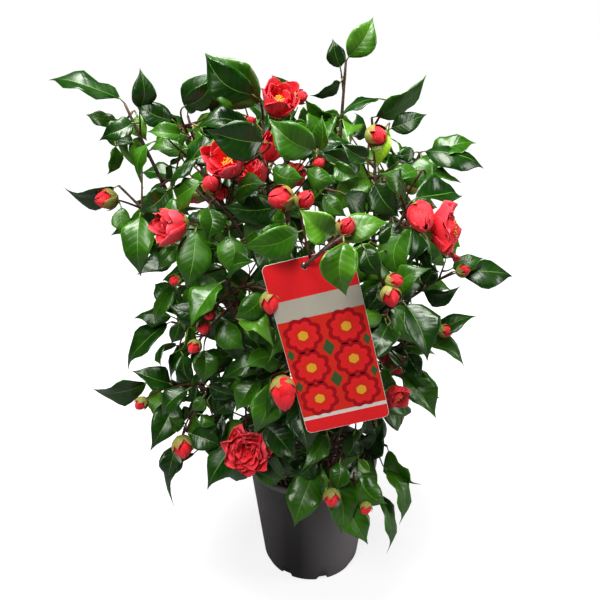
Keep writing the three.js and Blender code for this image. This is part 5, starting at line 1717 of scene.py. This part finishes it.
def print_panel(colour, level, draw, *sizes):
    """A thin layer of print on the card's front"""
    known = set(printed.faces)
    draw(printed, *sizes)
    faces = [face for face in printed.faces if face not in known]
    for face in faces:
        face.material_index = colour
        if face.normal.z < 0:
            face.normal_flip()
    grown = bmesh.ops.extrude_face_region(printed, geom=faces)["geom"]
    verts = [item for item in grown if isinstance(item, bmesh.types.BMVert)]
    bmesh.ops.translate(printed, vec=(0, 0, PRINT_THICKNESS), verts=verts)
    every = {vert for face in printed.faces if face not in known for vert in face.verts}
    bmesh.ops.translate(printed, vec=(0, 0, level * PRINT_THICKNESS * 0.5), verts=list(every))


top = CARD_HEIGHT / 2
wide = CARD_WIDTH - PRINT_MARGIN * 2
field_height = CARD_HEIGHT - HEADER_HEIGHT - BAND_HEIGHT - FOOTER_HEIGHT - FOOTER_GAP
field_middle = -top + FOOTER_HEIGHT + FOOTER_GAP + field_height / 2
print_panel(RED, 0, rectangle, 0, -top + FOOTER_HEIGHT / 2, wide, FOOTER_HEIGHT - PRINT_MARGIN * 2,
            CARD_CORNER, (-1,))
print_panel(CREAM, 0, rectangle, 0, top - HEADER_HEIGHT - BAND_HEIGHT / 2, wide, BAND_HEIGHT)
print_panel(SCARLET, 0, rectangle, 0, field_middle, wide, field_height)
tile = wide / 2
ROSETTE = [(CRIMSON, 0.46, 8, 0.16), (RED, 0.36, 8, 0.2), (SCARLET, 0.24, 8, 0.2), (YELLOW, 0.12, 6, 0.1)]
for column in (-0.5, 0.5):
    for row in (-1, 0, 1):
        x = column * tile
        y = field_middle + row * field_height / 3
        for level, (colour, size, lobes, depth) in enumerate(ROSETTE):
            print_panel(colour, level + 1, scalloped, x, y, tile * size, lobes, depth)
for row in (-0.5, 0.5):
    y = field_middle + row * field_height / 3
    for x, width, height in ((0, 13, 20), (5 - tile, 8, 14), (tile - 5, 8, 14)):
        print_panel(GREEN, 2, diamond, x, y, width, height)
print_panel(RED, 0, holed_sheet, top - (HEADER_HEIGHT + PRINT_MARGIN) / 2, wide,
            HEADER_HEIGHT - PRINT_MARGIN, (1,))
to_card("card_print", printed, CARD_THICKNESS, INKS)

# Floor, light and camera
PLANT_MIDDLE = Vector((0, 0, 0.4))
FLOOR_REACH = 30
SENSOR_WIDTH = 36
LENS = 37.2
floor_finish = Finish("floor_white", (0.24, 0.24, 0.24), 0.9, Specular_IOR_Level=0.1, Emission_Strength=1)
far = floor_finish.add("ShaderNodeVectorMath", {0: floor_finish.coordinates()}, operation="LENGTH")
bright = floor_finish.between(floor_finish.ramp(far.outputs["Value"], 0.1, 0.6), 0.8, 1.1)
seen = floor_finish.add("ShaderNodeLightPath").outputs["Is Camera Ray"]
floor_finish.set(Emission_Color=floor_finish.maths("MULTIPLY", seen, bright))
ground = bmesh.new()
bmesh.ops.create_grid(ground, x_segments=1, y_segments=1, size=FLOOR_REACH)
floor = new_object("floor", mesh_of("floor", ground, [floor_finish.material]))

world = bpy.data.worlds.new("studio")
bpy.context.scene.world = world
world.use_nodes = True
sky = Nodes(world.node_tree)
surroundings = sky.tree.nodes["Background"]
sky.feed(surroundings.inputs["Color"], (1, 1, 1))
sky.feed(surroundings.inputs["Strength"], 0.02)
backdrop = sky.add("ShaderNodeBackground", {"Color": (1, 1, 1), "Strength": 1})
seen = sky.add("ShaderNodeLightPath").outputs["Is Camera Ray"]
choice = sky.add("ShaderNodeMixShader", {0: seen, 1: surroundings.outputs[0], 2: backdrop.outputs[0]})
sky.feed(sky.tree.nodes["World Output"].inputs["Surface"], choice.outputs[0])


def soft_light(name, place, size, power):
    """A broad light that looks at the plant's middle"""
    light = bpy.data.lights.new(name, "AREA")
    light.shape = "RECTANGLE"
    light.size, light.size_y = size
    light.energy = power
    lamp = new_object(name, light)
    lamp.location = place
    lamp.rotation_euler = (PLANT_MIDDLE - Vector(place)).to_track_quat("-Z", "Y").to_euler()


soft_light("overhead", (-0.25, -0.25, 1.9), (0.9, 0.8), 58)
soft_light("front_left", (-0.8, -1.6, 1.9), (0.8, 0.8), 34)
soft_light("right_side", (1.7, -0.3, 0.9), (0.6, 1.2), 18)

camera_data = bpy.data.cameras.new("camera")
camera_data.sensor_width = SENSOR_WIDTH
camera_data.lens = LENS
camera = new_object("camera", camera_data)
camera.location = [part * MM for part in VIEWER]
camera.rotation_euler = (math.radians(90 - VIEWER_PITCH), 0, 0)
bpy.context.scene.camera = camera
bpy.context.scene.view_settings.view_transform = "Standard"
